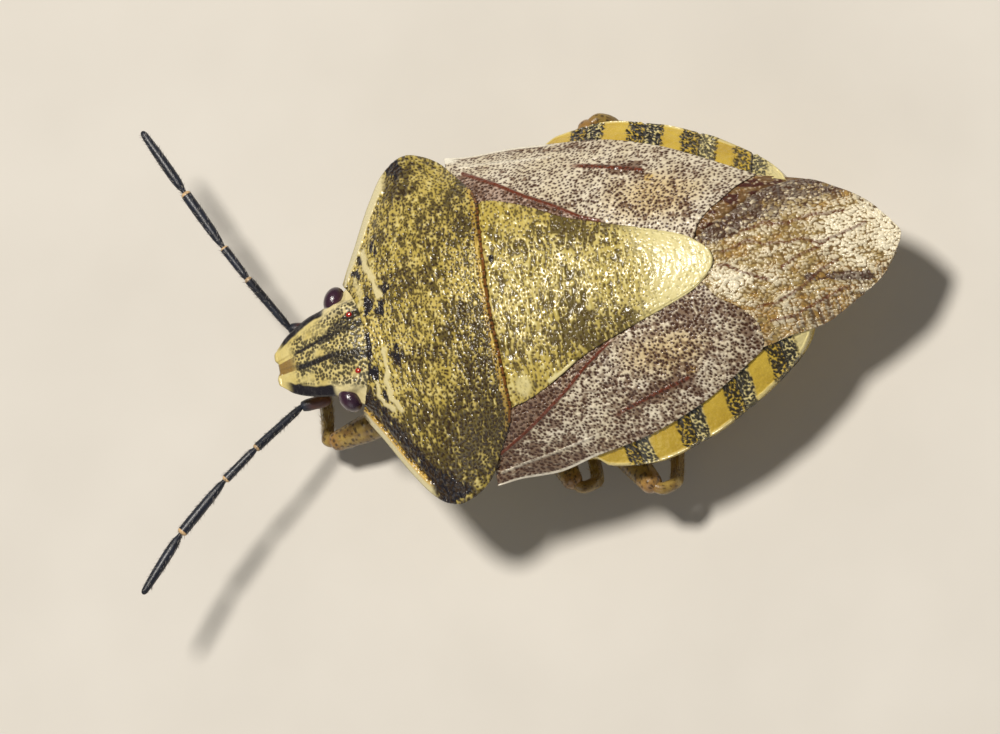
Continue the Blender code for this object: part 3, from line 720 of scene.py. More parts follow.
def make_forewings():
    root, inner_end = (4.86, 2.1), (9.1, 0.22)
    front = edge_line(root, (4.78, 2.3), (4.3, 2.88), (4.17, 3.38))
    inner = edge_line(root, *[(s, t - 0.07) for s, t in SCUTELLUM_SIDE[1:6]], inner_end)
    material = cuticle("wing_leather", (0.77, 0.7, 0.56), (0.66, 0.57, 0.4),
                       [("gold", (0.62, 0.42, 0.12)), ("plum", (0.4, 0.23, 0.19)),
                        ("dark", (0.12, 0.052, 0.022)), ("pale", (0.84, 0.8, 0.68)),
                        ("vein", (0.14, 0.03, 0.011)), ("pit", (0.055, 0.02, 0.009))], 0.28, coat=0.06)
    for side, wing in WINGS.items():
        outer = edge_line(*[(s, costal_edge(s)) for s in (*COSTAL_PLACES, wing["end"])])
        layout = stretched(front, edge_line(*wing["hind"]), inner, outer)
        plate("forewing_leather_" + side, "forewing_" + side, material,
              layout if side == "left" else mirrored(layout), partial(wing_surface, wing),
              cells=(520, 170), rim=0.02, depth=0.1)


# The membranes: the thin, crinkled hind part of each wing, the left one on top

MEMBRANE_EDGES = {  # where the leather ends, the tip, the outer edge and the inner edge
    "left": (((9.85, 1.86), (9.85, 1.55), (9.65, 1.15), (9.3, 0.8), (9.0, 0.5), (9.05, 0.2), (9.15, -0.1),
              (9.1, -0.4)),
             ((12.88, 0.36), (BODY_TIP_S, 0.0), (12.88, -0.3)),
             ((9.85, 1.86), (10.5, 1.68), (11.2, 1.5), (12.0, 1.12), (12.5, 0.82), (12.88, 0.36)),
             ((9.1, -0.4), (9.95, -0.9), (10.6, -1.33), (11.2, -1.46), (12.0, -1.1), (12.5, -0.74),
              (12.88, -0.3))),
    "right": (((10.35, 1.66), (9.95, 1.36), (9.55, 1.03), (9.2, 0.66), (8.95, 0.4), (9.1, 0.1), (9.2, -0.36)),
              ((12.65, 0.35), (12.78, 0.0), (12.65, -0.35)),
              ((10.35, 1.66), (11.2, 1.5), (12.0, 1.05), (12.4, 0.72), (12.65, 0.35)),
              ((9.2, -0.36), (9.95, -0.75), (10.6, -0.98), (11.2, -1.05), (12.0, -0.9), (12.4, -0.65),
               (12.65, -0.35))),
}
MEMBRANE_VEINS = (
    ((8.95, -0.1), (9.3, 0.02), (9.6, 0.28), (9.9, 0.36)),
    ((9.55, 0.9), (10.0, 0.86), (10.5, 0.68), (10.9, 0.45), (11.3, 0.3)),
    ((9.1, -0.35), (9.6, -0.45), (10.1, -0.3), (10.6, -0.25), (11.2, -0.1)),
    ((9.5, -0.62), (10.0, -0.72), (10.5, -0.62), (11.0, -0.7), (11.6, -0.6)),
    ((10.2, 0.2), (10.8, 0.0), (11.5, -0.2), (12.0, -0.3)),
    ((9.75, 1.22), (10.3, 1.2), (10.8, 1.02), (11.4, 0.85)),
)


def crinkled(s, out, seed):
    """The crinkles of a membrane: small round grains on folds that run out and back."""
    bend = 0.03 * ripple(s, out, 0.12, 0.12, seed + 2)
    grain, number = dots(s + bend, out + bend, 0.064, 0.054, seed, 0.85)
    dome = np.sqrt(unit(1 - (grain / 0.62) ** 2))
    fold = ripple(s + 0.5 * out, out - 0.2 * s, 0.16, 0.09, seed + 1)
    return dome, fold, number


def upper_membrane(s, t, u, v):
    out = arc(s, t)
    z = back(s, t) + MEMBRANE_LIFT - 0.05 * fade(u, 0.0, 0.05)
    a, b = seen(s, t, z)
    dome, fold, number = crinkled(s, out, 41)
    wander = 0.035 * ripple(s, out, 0.15, 0.15, 44)
    vein = most(*[stroke(a + wander, b - wander, 0.012, 0.05, *path) for path in MEMBRANE_VEINS])
    margin = np.minimum(v, 1 - v)
    comb = ripple(u * 4.2, 0 * v, 0.045, 1.0, 45) * fade(margin, 0.05, 0.2) * step(u, 0.1, 0.3)
    right = step(-b - 0.12 * (a - 9.5), 0.45, 0.85) * fade(a, 11.2, 12.0)
    streak = stroke(a, b, 0.04, 0.15, (10.7, 0.52), (11.2, 0.6), (11.85, 0.74))
    front_edge = stroke(a, b, 0.05, 0.2, (8.9, -0.6), (9.4, -0.75), (10.0, -1.0))
    murk = 0.85 * right + 1.1 * streak + 0.35 * fade(margin, 0.02, 0.1) + 0.4 * front_edge
    murk = murk + 0.4 * ripple(s, out, 0.3, 0.2, 43)
    # Two soft patches of painted sheen, where the grains glitter most: they make the grains paler and less
    # amber.
    sheen_patch = most(blob(a, b, (11.9, -0.1), (0.9, 0.55), 0.6), blob(a, b, (9.15, 0.25), (0.35, 0.3), 0.6))
    amber = step(ripple(s, out, 0.22, 0.14, 50) + 0.8 * step(b, 0.5, 1.1) - 0.5 * sheen_patch, 0.2, 0.7)
    # The light value mixes that painted sheen with random paler patches and a paler tip.
    light = 0.15 + 0.8 * sheen_patch + 0.5 * ripple(s, out, 0.25, 0.25, 46) + 0.3 * step(a, 12.1, 12.5)
    # The pale mark paints highlights on the tops of the grains and folds, stronger in the painted sheen
    # patches.
    pale = step(dome + 0.6 * (number - 0.5) + 0.5 * light + 0.3 * fold, 0.65, 1.1) * (0.55 + 0.42 * light)
    # Painted glints on a few grain tops in the dark patch on the right: they are drawn amber and cut out of
    # the dark.
    glint = right * step(number, 0.75, 0.85) * step(dome, 0.5, 0.9)
    # Between the grains, and less on their tops, the dark mark is painted shade in the crevices; the rest of
    # it is the membrane's own darker patches and lines.
    dark = most(step(murk + 0.5 * (number - 0.5) - 0.35 * dome, 0.2, 0.7),
                0.6 * step(0.55 - dome, 0.0, 0.3), 0.75 * step(-comb, 0.05, 0.35))
    z = z + 0.026 * dome + 0.034 * fold + 0.012 * vein + 0.022 * comb + 0.012 * number * dome
    return z, {
        "vein": 0.9 * vein * (1 - 0.35 * dome), "dark": 0.9 * dark * (1 - 0.8 * glint),
        "amber": 0.5 * most(amber, glint),
        "pale": pale * (1 - 0.75 * right * step(0.9 - number, 0.0, 0.1)) * (1 - 0.7 * streak)}


def lower_membrane(s, t, u, v):
    out = arc(s, t)
    hidden = step(t, -1.6, -0.3) * step(s, 9.7, 10.4)
    uncovered = fade(t + np.interp(s, (9.1, 9.95, 10.6, 11.2), (0.4, 0.9, 1.33, 1.46)), -0.12, 0.0)
    z = back(s, t) + LOWER_MEMBRANE_LIFT + 0.07 * fade(u, 0.03, 0.25) * uncovered - 0.12 * hidden
    dome, fold, number = crinkled(s, out, 47)
    spot = step(ripple(s, out, 0.2, 0.12, 49), 0.1, 0.5)
    # The grain tops of the lower membrane are painted as highlights: amber and pale on them, and less dark.
    return z + 0.022 * dome + 0.016 * fold, {
        "vein": 0.3 + 0 * s, "dark": 0.55 + 0.45 * spot - 0.4 * step(number, 0.6, 0.8) * dome,
        "amber": 0.8 * step(number, 0.5, 0.7) * dome,
        "pale": 0.55 * step(number, 0.72, 0.85) * step(dome, 0.6, 0.9)}


def make_membranes():
    # Its pale colour paints highlights on the grain tops; its amber colour paints amber patches and some
    # glints.
    material = cuticle("membrane_brown", (0.44, 0.32, 0.12), (0.27, 0.17, 0.05),
                       [("amber", (0.4, 0.21, 0.035)), ("dark", (0.05, 0.017, 0.016)),
                        ("pale", (0.88, 0.8, 0.6)), ("vein", (0.12, 0.03, 0.009))],
                       0.13, grain=0.025, relief=0.9, coat=0.5, patch=0.3)
    for side, surface, cells in (("left", upper_membrane, (350, 250)), ("right", lower_membrane, (200, 200))):
        layout = stretched(*[edge_line(*points) for points in MEMBRANE_EDGES[side]])
        plate("membrane_film_" + side, "membrane_" + side, material,
              layout if side == "left" else mirrored(layout), surface, cells, rim=0.012, depth=0.12)


# The abdomen: its banded rim shows beside the wings, and its rings show underneath

RING_BLACK = 0.33


def belly_layout(u, v):
    s = BELLY_FRONT_S + (BELLY_TIP_S - BELLY_FRONT_S) * np.sin(u * np.pi / 2) ** 1.05
    across = 2 * v - 1
    spread = np.sign(across) * (1 - (1 - abs(across)) ** 1.7)
    return np.array((s, spread * (belly_width(s) - 0.03 * bands(s, SUTURES, 0.0, 0.07))))


def belly_rim(s, t, u, v):
    out = arc(s, t)
    show = step(abs(t) - costal_edge(s), -0.22, -0.05) * fade(s, 10.95, 11.1)
    z = back(s, t) + BELLY_LIFT - 0.25 * (1 - show) - 0.4 * (1 - show) * step(s, 9.2, 10)
    suture = bands(s, SUTURES, 0.0, 0.035)
    reach = np.where(t < 0, RING_BLACK - 0.05, RING_BLACK - 0.11)
    block = bands(s + 0.04 * ripple(s, out, 0.1, 0.1, 51), SUTURES[1:], reach, 0.14)
    # Behind each suture, the pale specks among the black are painted glints of light.
    glint_half = bands(s - 0.15, SUTURES[1:], 0.12, 0.05)
    rough = ripple(s, out, 0.05, 0.05, 53) + 0.6 * ripple(s, out, 0.03, 0.03, 54)
    hole, halo = pits(s, out, 0.058, 0.058, 52, 0.3 + 0.14 * block, 0.9)
    faded = np.where(t < 0, step(s, 9.0, 9.4), 0.35)
    black = step(block, 0.3, 0.6) * step(hole + 0.4 * halo - 0.3 * rough - 0.1 * faded, 0.1, 0.4)
    black = most(black * (1 - 0.15 * faded), step(suture, 0.4, 0.8) * step(s, 6.6, 6.8))
    last_ring = step(s, 10.5, 10.65)
    outer = fade(belly_width(s) - abs(t), 0.02, 0.06) * (1 - 0.7 * block)
    z = z - 0.025 * suture - 0.012 * hole * block + (0.007 + 0.011 * block) * rough + 0.02 * outer
    return z, {"dark": black * fade(s, 10.55, 10.65) * (1 - 0.5 * outer), "pit": 0.6 * hole * block,
               "pale": most(0.7 * outer, last_ring, 0.9 * block * glint_half)}


def belly_depth(s, t):
    across = share_of(belly_width, s, t)
    ring = bands(s + 0.12 * across ** 2, SUTURES, 0.0, 0.06)
    dents = 0.008 * ripple(s, t, 0.12, 0.12, 57) - 0.01 * pits(s, t, 0.11, 0.11, 58, 0.3)[0]
    return hull(s, across, 0.2) + 0.035 * ring + dents


def belly_marks(s, t):
    across = share_of(belly_width, s, t)
    ring = bands(s + 0.12 * across ** 2, SUTURES, 0.0, 0.04)
    block = bands(s, SUTURES[1:], RING_BLACK - 0.08, 0.1)
    breath = most(*[fade(np.hypot(s - place - 0.5, across * 3 - 2.35), 0.04, 0.08) for place in SUTURES])
    dot = pits(s, t, 0.11, 0.11, 58, 0.24)[0] * step(across, 0.15, 0.35)
    return {"dark": most(block * step(across, 0.88, 0.93), breath), "pit": most(0.5 * dot, 0.35 * ring),
            "pale": 0.5 * fade(across, 0.1, 0.4)}


def make_abdomen():
    # Its pale colour also paints the glints on the black blocks of the rim.
    material = cuticle("belly_yellow", (0.62, 0.44, 0.06), (0.5, 0.33, 0.035),
                       [("pale", (0.74, 0.64, 0.3)), ("dark", (0.018, 0.015, 0.014)),
                        ("pit", (0.008, 0.007, 0.007))], 0.24)
    plate("abdomen_rings", "abdomen", material, belly_layout, belly_rim, cells=(420, 160),
          rim=0.04, depth=belly_depth, coarse=2, below=belly_marks)


# The thorax: only its underside shows, with the swellings that the legs grow from

def chest_layout(u, v):
    s = CHEST_FRONT_S + (WAIST_S - CHEST_FRONT_S) * u
    return np.array((s, (2 * v - 1) * chest_width(s)))


def chest_top(s, t, u, v):
    return back(s, t) + CHEST_LIFT, {"pit": 0 * s, "pale": 0 * s, "dark": 0 * s}


def to_hip(s, out):
    """The distance to the nearest hip, for a place that far out on either side."""
    return np.minimum.reduce([np.hypot(s - hip[0], out - abs(hip[1])) for hip, *_ in LEGS.values()])


def chest_depth(s, t):
    across = share_of(chest_width, s, t)
    seam = bands(s + 0.3 * across, CHEST_SEAMS, 0.01, 0.06)
    hips = np.sqrt(unit(1 - (to_hip(s, abs(t)) / 0.4) ** 2))
    groove = band(t, 0.0, 0.13, 0.1) * step(s, 2.4, 2.7)
    hole = pits(s, t, 0.1, 0.1, 59, 0.35)[0]
    return hull(s, across, 0.25) + 0.04 * seam + 0.05 * groove - 0.42 * hips - 0.01 * hole


def chest_marks(s, t):
    across = share_of(chest_width, s, t)
    seam = bands(s + 0.3 * across, CHEST_SEAMS, 0.01, 0.04)
    dot = pits(s, t, 0.1, 0.1, 59, 0.3)[0] * step(across, 0.2, 0.4)
    spots = fade(to_hip(s + 0.1, abs(t) - 0.5), 0.07, 0.12)
    scent = blob(s, abs(t), (4.85, 1.75), (0.16, 0.4), 0.3)
    return {"dark": most(spots, 0.4 * seam), "pit": 0.75 * dot * (1 - scent), "pale": 0.6 * scent}


def make_thorax():
    material = cuticle("chest_yellow", (0.56, 0.44, 0.1), (0.42, 0.32, 0.06),
                       [("pale", (0.78, 0.66, 0.34)), ("dark", (0.05, 0.035, 0.015)), ("pit", PIT)], 0.32)
    plate("thorax_sides", "thorax", material, chest_layout, chest_top, cells=(190, 200),
          rim=0.04, depth=chest_depth, coarse=1, below=chest_marks)


# The head

RIGHT_GROOVE = ((0.0, -0.115), (0.41, -0.25), (0.72, -0.335), (1.13, -0.465))
LEFT_GROOVE = ((0.05, 0.073), (0.46, 0.05), (0.76, 0.007), (1.03, -0.042))


def head_surface(s, t, u, v):
    z = head_top(s, t)
    a, b = seen(s, t, z)
    groove = most(stroke(a, b, 0.012, 0.05, *RIGHT_GROOVE), stroke(a, b, 0.03, 0.075, *LEFT_GROOVE))
    tylus = band(b + 0.02 + 0.2 * a, 0.04, 0.1 + 0.06 * unit(a), 0.02) * fade(a, 1.0, 1.1)
    lines = most(stroke(a, b, 0.05, 0.13, (1.1, -0.46), (1.5, -0.7), (1.8, -0.78)),
                 stroke(a, b, 0.05, 0.13, (0.9, -0.36), (1.3, -0.5), (1.85, -0.58)),
                 stroke(a, b, 0.05, 0.14, (1.05, -0.05), (1.4, -0.02), (1.85, 0.1)),
                 stroke(a, b, 0.04, 0.12, (1.1, 0.1), (1.5, 0.1), (1.75, 0.05)))
    sparse = step(0.5 + 0.5 * ripple(s, t, 0.25, 0.2, 62), 0.0, 0.3)
    calm = most(step(abs(t) - 0.3 * s, 0.28, 0.4), fade(a, 0.2, 0.4))
    pit = pits(s, t, 0.067, 0.067, 61, 0.56)[0] * most(0.9 * sparse, lines) * (1 - calm)
    black = lines * step(pits(s, t, 0.055, 0.04, 63, 0.6)[0] + 0.5 * lines, 0.35, 0.75)
    reach = np.where(t > 0, 0.15, 0.08)
    rim = fade(head_width(s) - abs(t) + 0.02 * ripple(s, t, 0.1, 0.1, 65), reach, reach + 0.05)
    socket = blob(s, abs(t), (1.52, 0.8), (0.3, 0.13))
    z = z - 0.03 * groove + 0.015 * tylus - 0.012 * pit + 0.008 * ripple(s, t, 0.07, 0.07, 64) + 0.12 * socket
    return z, {
        "ink": most(groove * step(a, 0.28, 0.4), 0.9 * black, rim * step(a, 0.0, 0.2) * fade(s, 1.15, 1.27)),
        "pale": 0.5 * step(abs(t), 0.55, 0.7) * step(s, 1.0, 1.2),
        # Here the rust mark is only the tylus's own rust brown.
        "rust": 0.85 * tylus * fade(a, 0.2, 0.42), "pit": pit}


def chin_depth(s, t):
    across = share_of(head_width, s, t)
    low = head_side(s) - 0.17
    return low + (head_chin(s) - low) * (1 - across ** 1.2)


def chin_marks(s, t):
    return {"pit": 0.6 * pits(s, t, 0.08, 0.08, 66, 0.3)[0]}


def make_head():
    tip = both_sides((0.03, 0.0), (0.02, 0.09), (-0.04, 0.2), (-0.03, 0.32), (0.06, 0.42))
    rear = both_sides((2.3, 0.0), (2.24, 0.55), (2.05, 1.18))
    cheek = edge_line((0.06, 0.42), (0.25, 0.55), (0.55, 0.68), (0.85, 0.78), (1.2, 0.86),
                      (1.4, 0.93), (1.6, 1.05), (1.8, 1.18), (2.05, 1.18))
    material = cuticle("head_yellow", (0.68, 0.57, 0.24), (0.58, 0.46, 0.15),
                       [("pale", (0.8, 0.7, 0.42)), ("rust", (0.2, 0.1, 0.02)), ("ink", INK),
                        ("pit", (0.02, 0.016, 0.012))], 0.3, patch=0.3)
    plate("head_shell", "head", material, stretched(tip, rear, mirrored(cheek), cheek),
          head_surface, cells=(240, 220), rim=0.04, depth=chin_depth, coarse=4, below=chin_marks)


# Round parts: feelers, legs, beak, eyes and hairs

UPWARD = (0, 0, 1)
A_BIT = 0.004  # of a route's length, for the way ahead at a place


def direction(way):
    """The same way or ways, at a length of 1."""
    return way / np.linalg.norm(way, axis=0)


def route_along(points):
    """A smooth route through (s, t, z) places by the share of its length, and that length."""
    places = np.array(points, float)
    run = np.concatenate([[0.0], np.cumsum(np.linalg.norm(np.diff(places, axis=0), axis=1))])
    lines = [smooth_line(*zip(run / run[-1], places[:, k])) for k in range(3)]
    return (lambda u: np.array([line(u) for line in lines])), run[-1]


def around(route, u, angle, up):
    """The middle of a limb at u, the way out of it at an angle from up, and the way ahead."""
    ahead = direction(route(np.minimum(u + A_BIT, 1)) - route(np.maximum(u - A_BIT, 0)))
    side = direction(np.cross(np.array(up, float), ahead, axisb=0, axisc=0))
    top = np.cross(ahead, side, axis=0)
    return route(u), side * np.sin(angle) + top * np.cos(angle), ahead


def tube(name, solid, material, points, shape, cells, up=UPWARD):
    """A limb along a route. Its shape gives the radius and the marks at (u, angle)."""
    route, length = route_along(points)
    bm = bmesh.new()
    grid(bm, *cells)
    mesh = mesh_of(name, bm)
    x, y, _ = corners(mesh)
    u, angle = 0.5 + y / 2, x * np.pi
    radius, inks = shape(u, angle, length)
    middle, out, _ = around(route, u, angle, up)
    s, t, z = middle + radius * out
    set_corners(mesh, s, t, np.maximum(z, FLOOR_Z))
    set_inks(mesh, inks)
    closed(mesh)
    add_piece(name, solid, material, mesh)


def rounded_ends(u, length, start, end):
    """0 at both ends of a limb and 1 between, as round as balls of those sizes."""
    first, last = unit(u * length / start), unit((1 - u) * length / end)
    return np.sqrt(first * (2 - first)) * np.sqrt(last * (2 - last))


# A hair's radius at its root and tip, how deep it is sunk, and its side on the unwrap
HAIR_ROOT = 0.0065 * MM
HAIR_TIP = 0.0012 * MM
HAIR_SUNK = 0.008
HAIR_PATCH = 0.003


def hairs(name, solid, material, points, radius_at, count, reach, lean, seed, span, up=UPWARD):
    """Fine bristles on a limb, each a thin cone that leans towards the limb's end."""
    draw = np.random.default_rng(seed)
    route, _ = route_along(points)
    u = draw.uniform(*span, count)
    angle = draw.uniform(-np.pi, np.pi, count)
    middle, out, ahead = around(route, u, angle, up)
    way = direction(out + ahead * lean * draw.uniform(0.7, 1.3, count))
    root = middle + out * (radius_at(u) - HAIR_SUNK)
    size = reach * draw.uniform(0.6, 1.2, count)
    bm = bmesh.new()
    bake = bm.loops.layers.uv.new("OFBake")
    for k in range(count):
        s, t, z = root[:, k] + way[:, k] * size[k] / 2
        if (root[:, k] + way[:, k] * size[k])[2] < FLOOR_Z + 0.01:
            continue
        where = Vector((t - MIDDLE_T, s - MIDDLE_S, z - FLOOR_Z)) * MM
        turn = Vector(way[[1, 0, 2], k]).to_track_quat("Z", "Y").to_matrix().to_4x4()
        made = bmesh.ops.create_cone(bm, cap_ends=True, segments=4, radius1=HAIR_ROOT, radius2=HAIR_TIP,
                                     depth=size[k] * MM, matrix=Matrix.Translation(where) @ turn)
        patch = (float(u[k]), float(angle[k] / (2 * np.pi) + 0.5))
        for face in {f for v in made["verts"] for f in v.link_faces}:
            for loop, (du, dv) in zip(face.loops, ((0, 0), (1, 0), (1, 1), (0, 1))):
                loop[bake].uv = (patch[0] + du * HAIR_PATCH, patch[1] + dv * HAIR_PATCH)
    add_piece(name, solid, material, mesh_of(name, bm))


# The five segments of a feeler, from its root to its tip: the radius along each
SEGMENTS = [smooth_line(*stations) for stations in (
    ((0.0, 0.09), (0.3, 0.13), (0.75, 0.125), (0.97, 0.1), (1.0, 0.07)),
    ((0.0, 0.05), (0.05, 0.062), (0.15, 0.078), (0.6, 0.086), (0.93, 0.09), (1.0, 0.08)),
    ((0.0, 0.05), (0.05, 0.062), (0.15, 0.078), (0.6, 0.086), (0.93, 0.09), (1.0, 0.08)),
    ((0.0, 0.045), (0.035, 0.05), (0.12, 0.076), (0.35, 0.1), (0.7, 0.109), (0.95, 0.106), (1.0, 0.09)),
    ((0.0, 0.045), (0.03, 0.05), (0.12, 0.085), (0.3, 0.104), (0.55, 0.1), (0.8, 0.085), (1.0, 0.06)))]


def feeler_profile(starts, u):
    """The feeler's radius at u, the segment that u is in, and how far along that it is."""
    segment = np.clip(np.searchsorted(starts, u, side="right") - 1, 0, 4)
    share = (u - starts[segment]) / (starts[segment + 1] - starts[segment])
    return np.choose(segment, [line(share) for line in SEGMENTS]), segment, share


def feeler_shape(starts, u, angle, length):
    radius, segment, share = feeler_profile(starts, u)
    ring = most(np.where((segment == 2) | (segment == 3), step(share, 0.945, 0.955), 0.0),
                np.where(segment == 1, 0.7 * step(share, 0.965, 0.972), 0.0))
    radius = radius - 0.02 * ring * step(share, 0.97, 1.0)
    rough = ripple(u * length, angle * 0.1, 0.02, 0.02, 71) * (radius > 0.05) * (u < 0.99) * (u > 0.01)
    return radius * rounded_ends(u, length, 0.1, 0.09) + 0.002 * rough, {
        "ring": ring, "root": np.where(segment == 0, fade(share, 0.5, 0.9), 0.0)}


def make_feelers():
    skin = cuticle("feeler_black", (0.012, 0.016, 0.03), (0.006, 0.007, 0.012),
                   [("root", (0.09, 0.03, 0.02)), ("ring", (0.62, 0.42, 0.22))], 0.4, grain=0.02, relief=0.9,
                   coat=0.08, patch=0.2)
    hair = cuticle("feeler_hair", (0.42, 0.4, 0.38), (0.3, 0.28, 0.26), [], 0.4, coat=0.0)
    for k, (side, joints) in enumerate(FEELERS.items()):
        joints = [np.array(joint) for joint in joints]
        lengths = [np.linalg.norm(last - first) for first, last in zip(joints, joints[1:])]
        starts = np.concatenate([[0], np.cumsum(lengths)]) / sum(lengths)
        points = [first + (last - first) * f for first, last in zip(joints, joints[1:])
                  for f in (0.0, 0.06, 0.5, 0.94)] + joints[-1:]
        tube("feeler_%s_segments" % side, "feeler_" + side, skin, points,
             partial(feeler_shape, starts), cells=(420, 24))
        hairs("feeler_%s_hairs" % side, "feeler_" + side, hair, points,
              lambda u: feeler_profile(starts, u)[0], count=420, reach=0.075, lean=1.1, seed=72 + k,
              span=(0.12, 0.985))


LEG_ROUND = 0.2  # the radius at which a leg's marks are laid out


def leg_dots(u, angle, length, seed, amount):
    """Small dots all over a limb, with that share of them kept."""
    nearest, number = dots(u * length, angle * LEG_ROUND, 0.1, 0.1, seed, 0.85)
    return fade(nearest, 0.12 + 0.2 * number, 0.28 + 0.2 * number) * (number < amount)


thigh_radius = smooth_line((0, 0.24), (0.16, 0.2), (0.3, 0.25), (0.65, 0.28), (0.88, 0.22), (1, 0.18))
shin_radius = smooth_line((0, 0.12), (0.1, 0.125), (0.3, 0.125), (0.8, 0.135), (0.93, 0.15), (1, 0.13))
foot_radius = smooth_line((0, 0.1), (0.12, 0.11), (0.33, 0.12), (0.36, 0.075), (0.4, 0.09), (0.55, 0.098),
                          (0.58, 0.065), (0.63, 0.07), (0.85, 0.1), (1, 0.085))


def thigh_shape(stout, u, angle, length):
    dot = leg_dots(u, angle, length, 81, 0.75)
    radius = thigh_radius(u) - 0.05 * band(u, 0.2, 0.005, 0.03) + 0.004 * dot
    radius = radius + 0.004 * ripple(u * length, angle * LEG_ROUND, 0.08, 0.08, 82)
    return radius * stout * rounded_ends(u, length, 0.15, 0.16), {
        "dot": 0.85 * dot, "tan": 0.7 * step(u, 0.85, 0.97) + 0.4 * band(u, 0.2, 0.0, 0.03)}


def shin_shape(u, angle, length):
    grooves = 0.012 * np.cos(4 * angle) * step(u, 0.12, 0.25) * fade(u, 0.9, 0.98)
    dot = leg_dots(u, angle, length, 83, 0.5)
    return (shin_radius(u) + grooves + 0.003 * dot) * rounded_ends(u, length, 0.1, 0.1), {
        "dot": 0.8 * dot, "tan": 0.5 * fade(u, 0.02, 0.1) + 0.6 * step(u, 0.9, 1.0)}


def foot_shape(u, angle, length):
    return foot_radius(u) * rounded_ends(u, length, 0.08, 0.09), {
        "tan": 0.4 + 0.5 * step(u, 0.6, 0.9), "claw": 0.8 * step(u, 0.93, 0.98)}


def claw_shape(u, angle, length):
    return (0.036 * (1 - u) + 0.006) * rounded_ends(u, length, 0.04, 0.02), {"claw": 0.35 + 0.65 * u}


def make_legs():
    skin = cuticle("leg_amber", (0.36, 0.25, 0.065), (0.15, 0.085, 0.025),
                   [("tan", (0.3, 0.15, 0.045)), ("dot", (0.035, 0.02, 0.012)),
                    ("claw", (0.03, 0.015, 0.01))], 0.3, grain=0.03, relief=0.5, patch=0.22)
    hair = cuticle("leg_hair", (0.5, 0.4, 0.22), (0.4, 0.3, 0.15), [], 0.45, coat=0.0)
    for k, (name, (*joints, aim)) in enumerate(LEGS.items()):
        hip, knee, ankle = [np.array(joint) for joint in joints]
        reach = direction(knee - hip)
        bend = direction(ankle - knee - reach * np.dot(ankle - knee, reach))
        over = tuple(np.cross(reach, bend))
        # The thigh sags a little after the hip and ends just past the knee
        trochanter = hip + (knee - hip) * 0.16 + (0, 0, -0.1)
        thigh = [hip, trochanter, hip + (knee - hip) * 0.55, knee + reach * 0.12]
        # The shin starts in the knee, swings round its elbow and runs straight to the ankle
        elbow = knee + reach * 0.16 + bend * 0.14
        shaft = knee + reach * 0.1 + bend * 0.5
        shin = [knee - reach * 0.02 - bend * 0.02, elbow, shaft, (shaft + ankle) / 2, ankle]
        # The foot comes down from the ankle and lies flat on the floor
        drop = direction(ankle - shaft)
        ahead = direction(np.array((*aim, 0.0)))
        sole = ankle + drop * 0.16 + ahead * 0.14
        sole[2] = FLOOR_Z + SOLE_HEIGHT
        toe = sole + ahead * (FOOT_LENGTH[name.split("_")[0]] - HEEL_AND_CLAWS)
        toe[2] = FLOOR_Z + TOE_HEIGHT
        foot = [ankle - drop * 0.04, sole, (sole + toe) / 2, toe]
        thigh_of_leg = partial(thigh_shape, HIND_THIGH_STOUT if "hind" in name else 1.0)
        tube("thigh_" + name, "femur_" + name, skin, thigh, thigh_of_leg, cells=(200, 44), up=over)
        tube("shin_" + name, "tibia_" + name, skin, shin, shin_shape, cells=(200, 40), up=over)
        tube("foot_" + name, "tarsus_" + name, skin, foot, foot_shape, cells=(140, 24))
        across = np.array((-ahead[1], ahead[0], 0.0))
        for hand, place in ((-1, "inner"), (1, "outer")):
            claw = [toe + ahead * along + across * out * hand + (0, 0, high) for along, out, high in (
                (-0.03, 0.03, 0.0), (0.1, 0.07, 0.05), (0.19, 0.1, 0.0), (0.21, 0.09, -0.08))]
            tube("claw_%s_%s" % (name, place), "tarsus_" + name, skin, claw, claw_shape,
                 cells=(30, 12))
        hairs("shin_hair_" + name, "tibia_" + name, hair, shin, lambda u: 0.13, count=150, reach=0.1,
              lean=1.3, seed=90 + k, span=(0.2, 0.97), up=over)
        hairs("thigh_hair_" + name, "femur_" + name, hair, thigh, lambda u: 0.22, count=90, reach=0.06,
              lean=1.3, seed=100 + k, span=(0.35, 0.9), up=over)
        hairs("foot_hair_" + name, "tarsus_" + name, hair, foot, lambda u: 0.09, count=110, reach=0.07,
              lean=1.2, seed=110 + k, span=(0.1, 0.93))


def beak_shape(u, angle, length):
    radius = smooth_line((0, 0.14), (0.12, 0.17), (0.3, 0.15), (0.6, 0.13), (0.85, 0.11), (1, 0.05))(u)
    seam = bands(u, (0.28, 0.55, 0.78), 0.0, 0.012)
    slit = np.exp(-((abs(angle) - np.pi) / 0.25) ** 2)
    return (radius - 0.03 * seam - 0.025 * slit) * rounded_ends(u, length, 0.12, 0.12), {
        "tip": most(step(u, 0.9, 0.97), 0.5 * seam)}


def make_beak():
    skin = cuticle("beak_brown", (0.36, 0.22, 0.07), (0.2, 0.11, 0.03), [("tip", INK)], 0.3, grain=0.03)
    points = [(0.42, 0, -0.62), (0.9, 0, -0.9), (1.6, 0, -1.1)]
    points += [(s, 0, keel(s) - gap) for s, gap in ((2.4, 0.16), (3.4, 0.14), (4.6, 0.13), (5.3, 0.12))]
    tube("beak_segments", "beak", skin, points, beak_shape, cells=(300, 40))


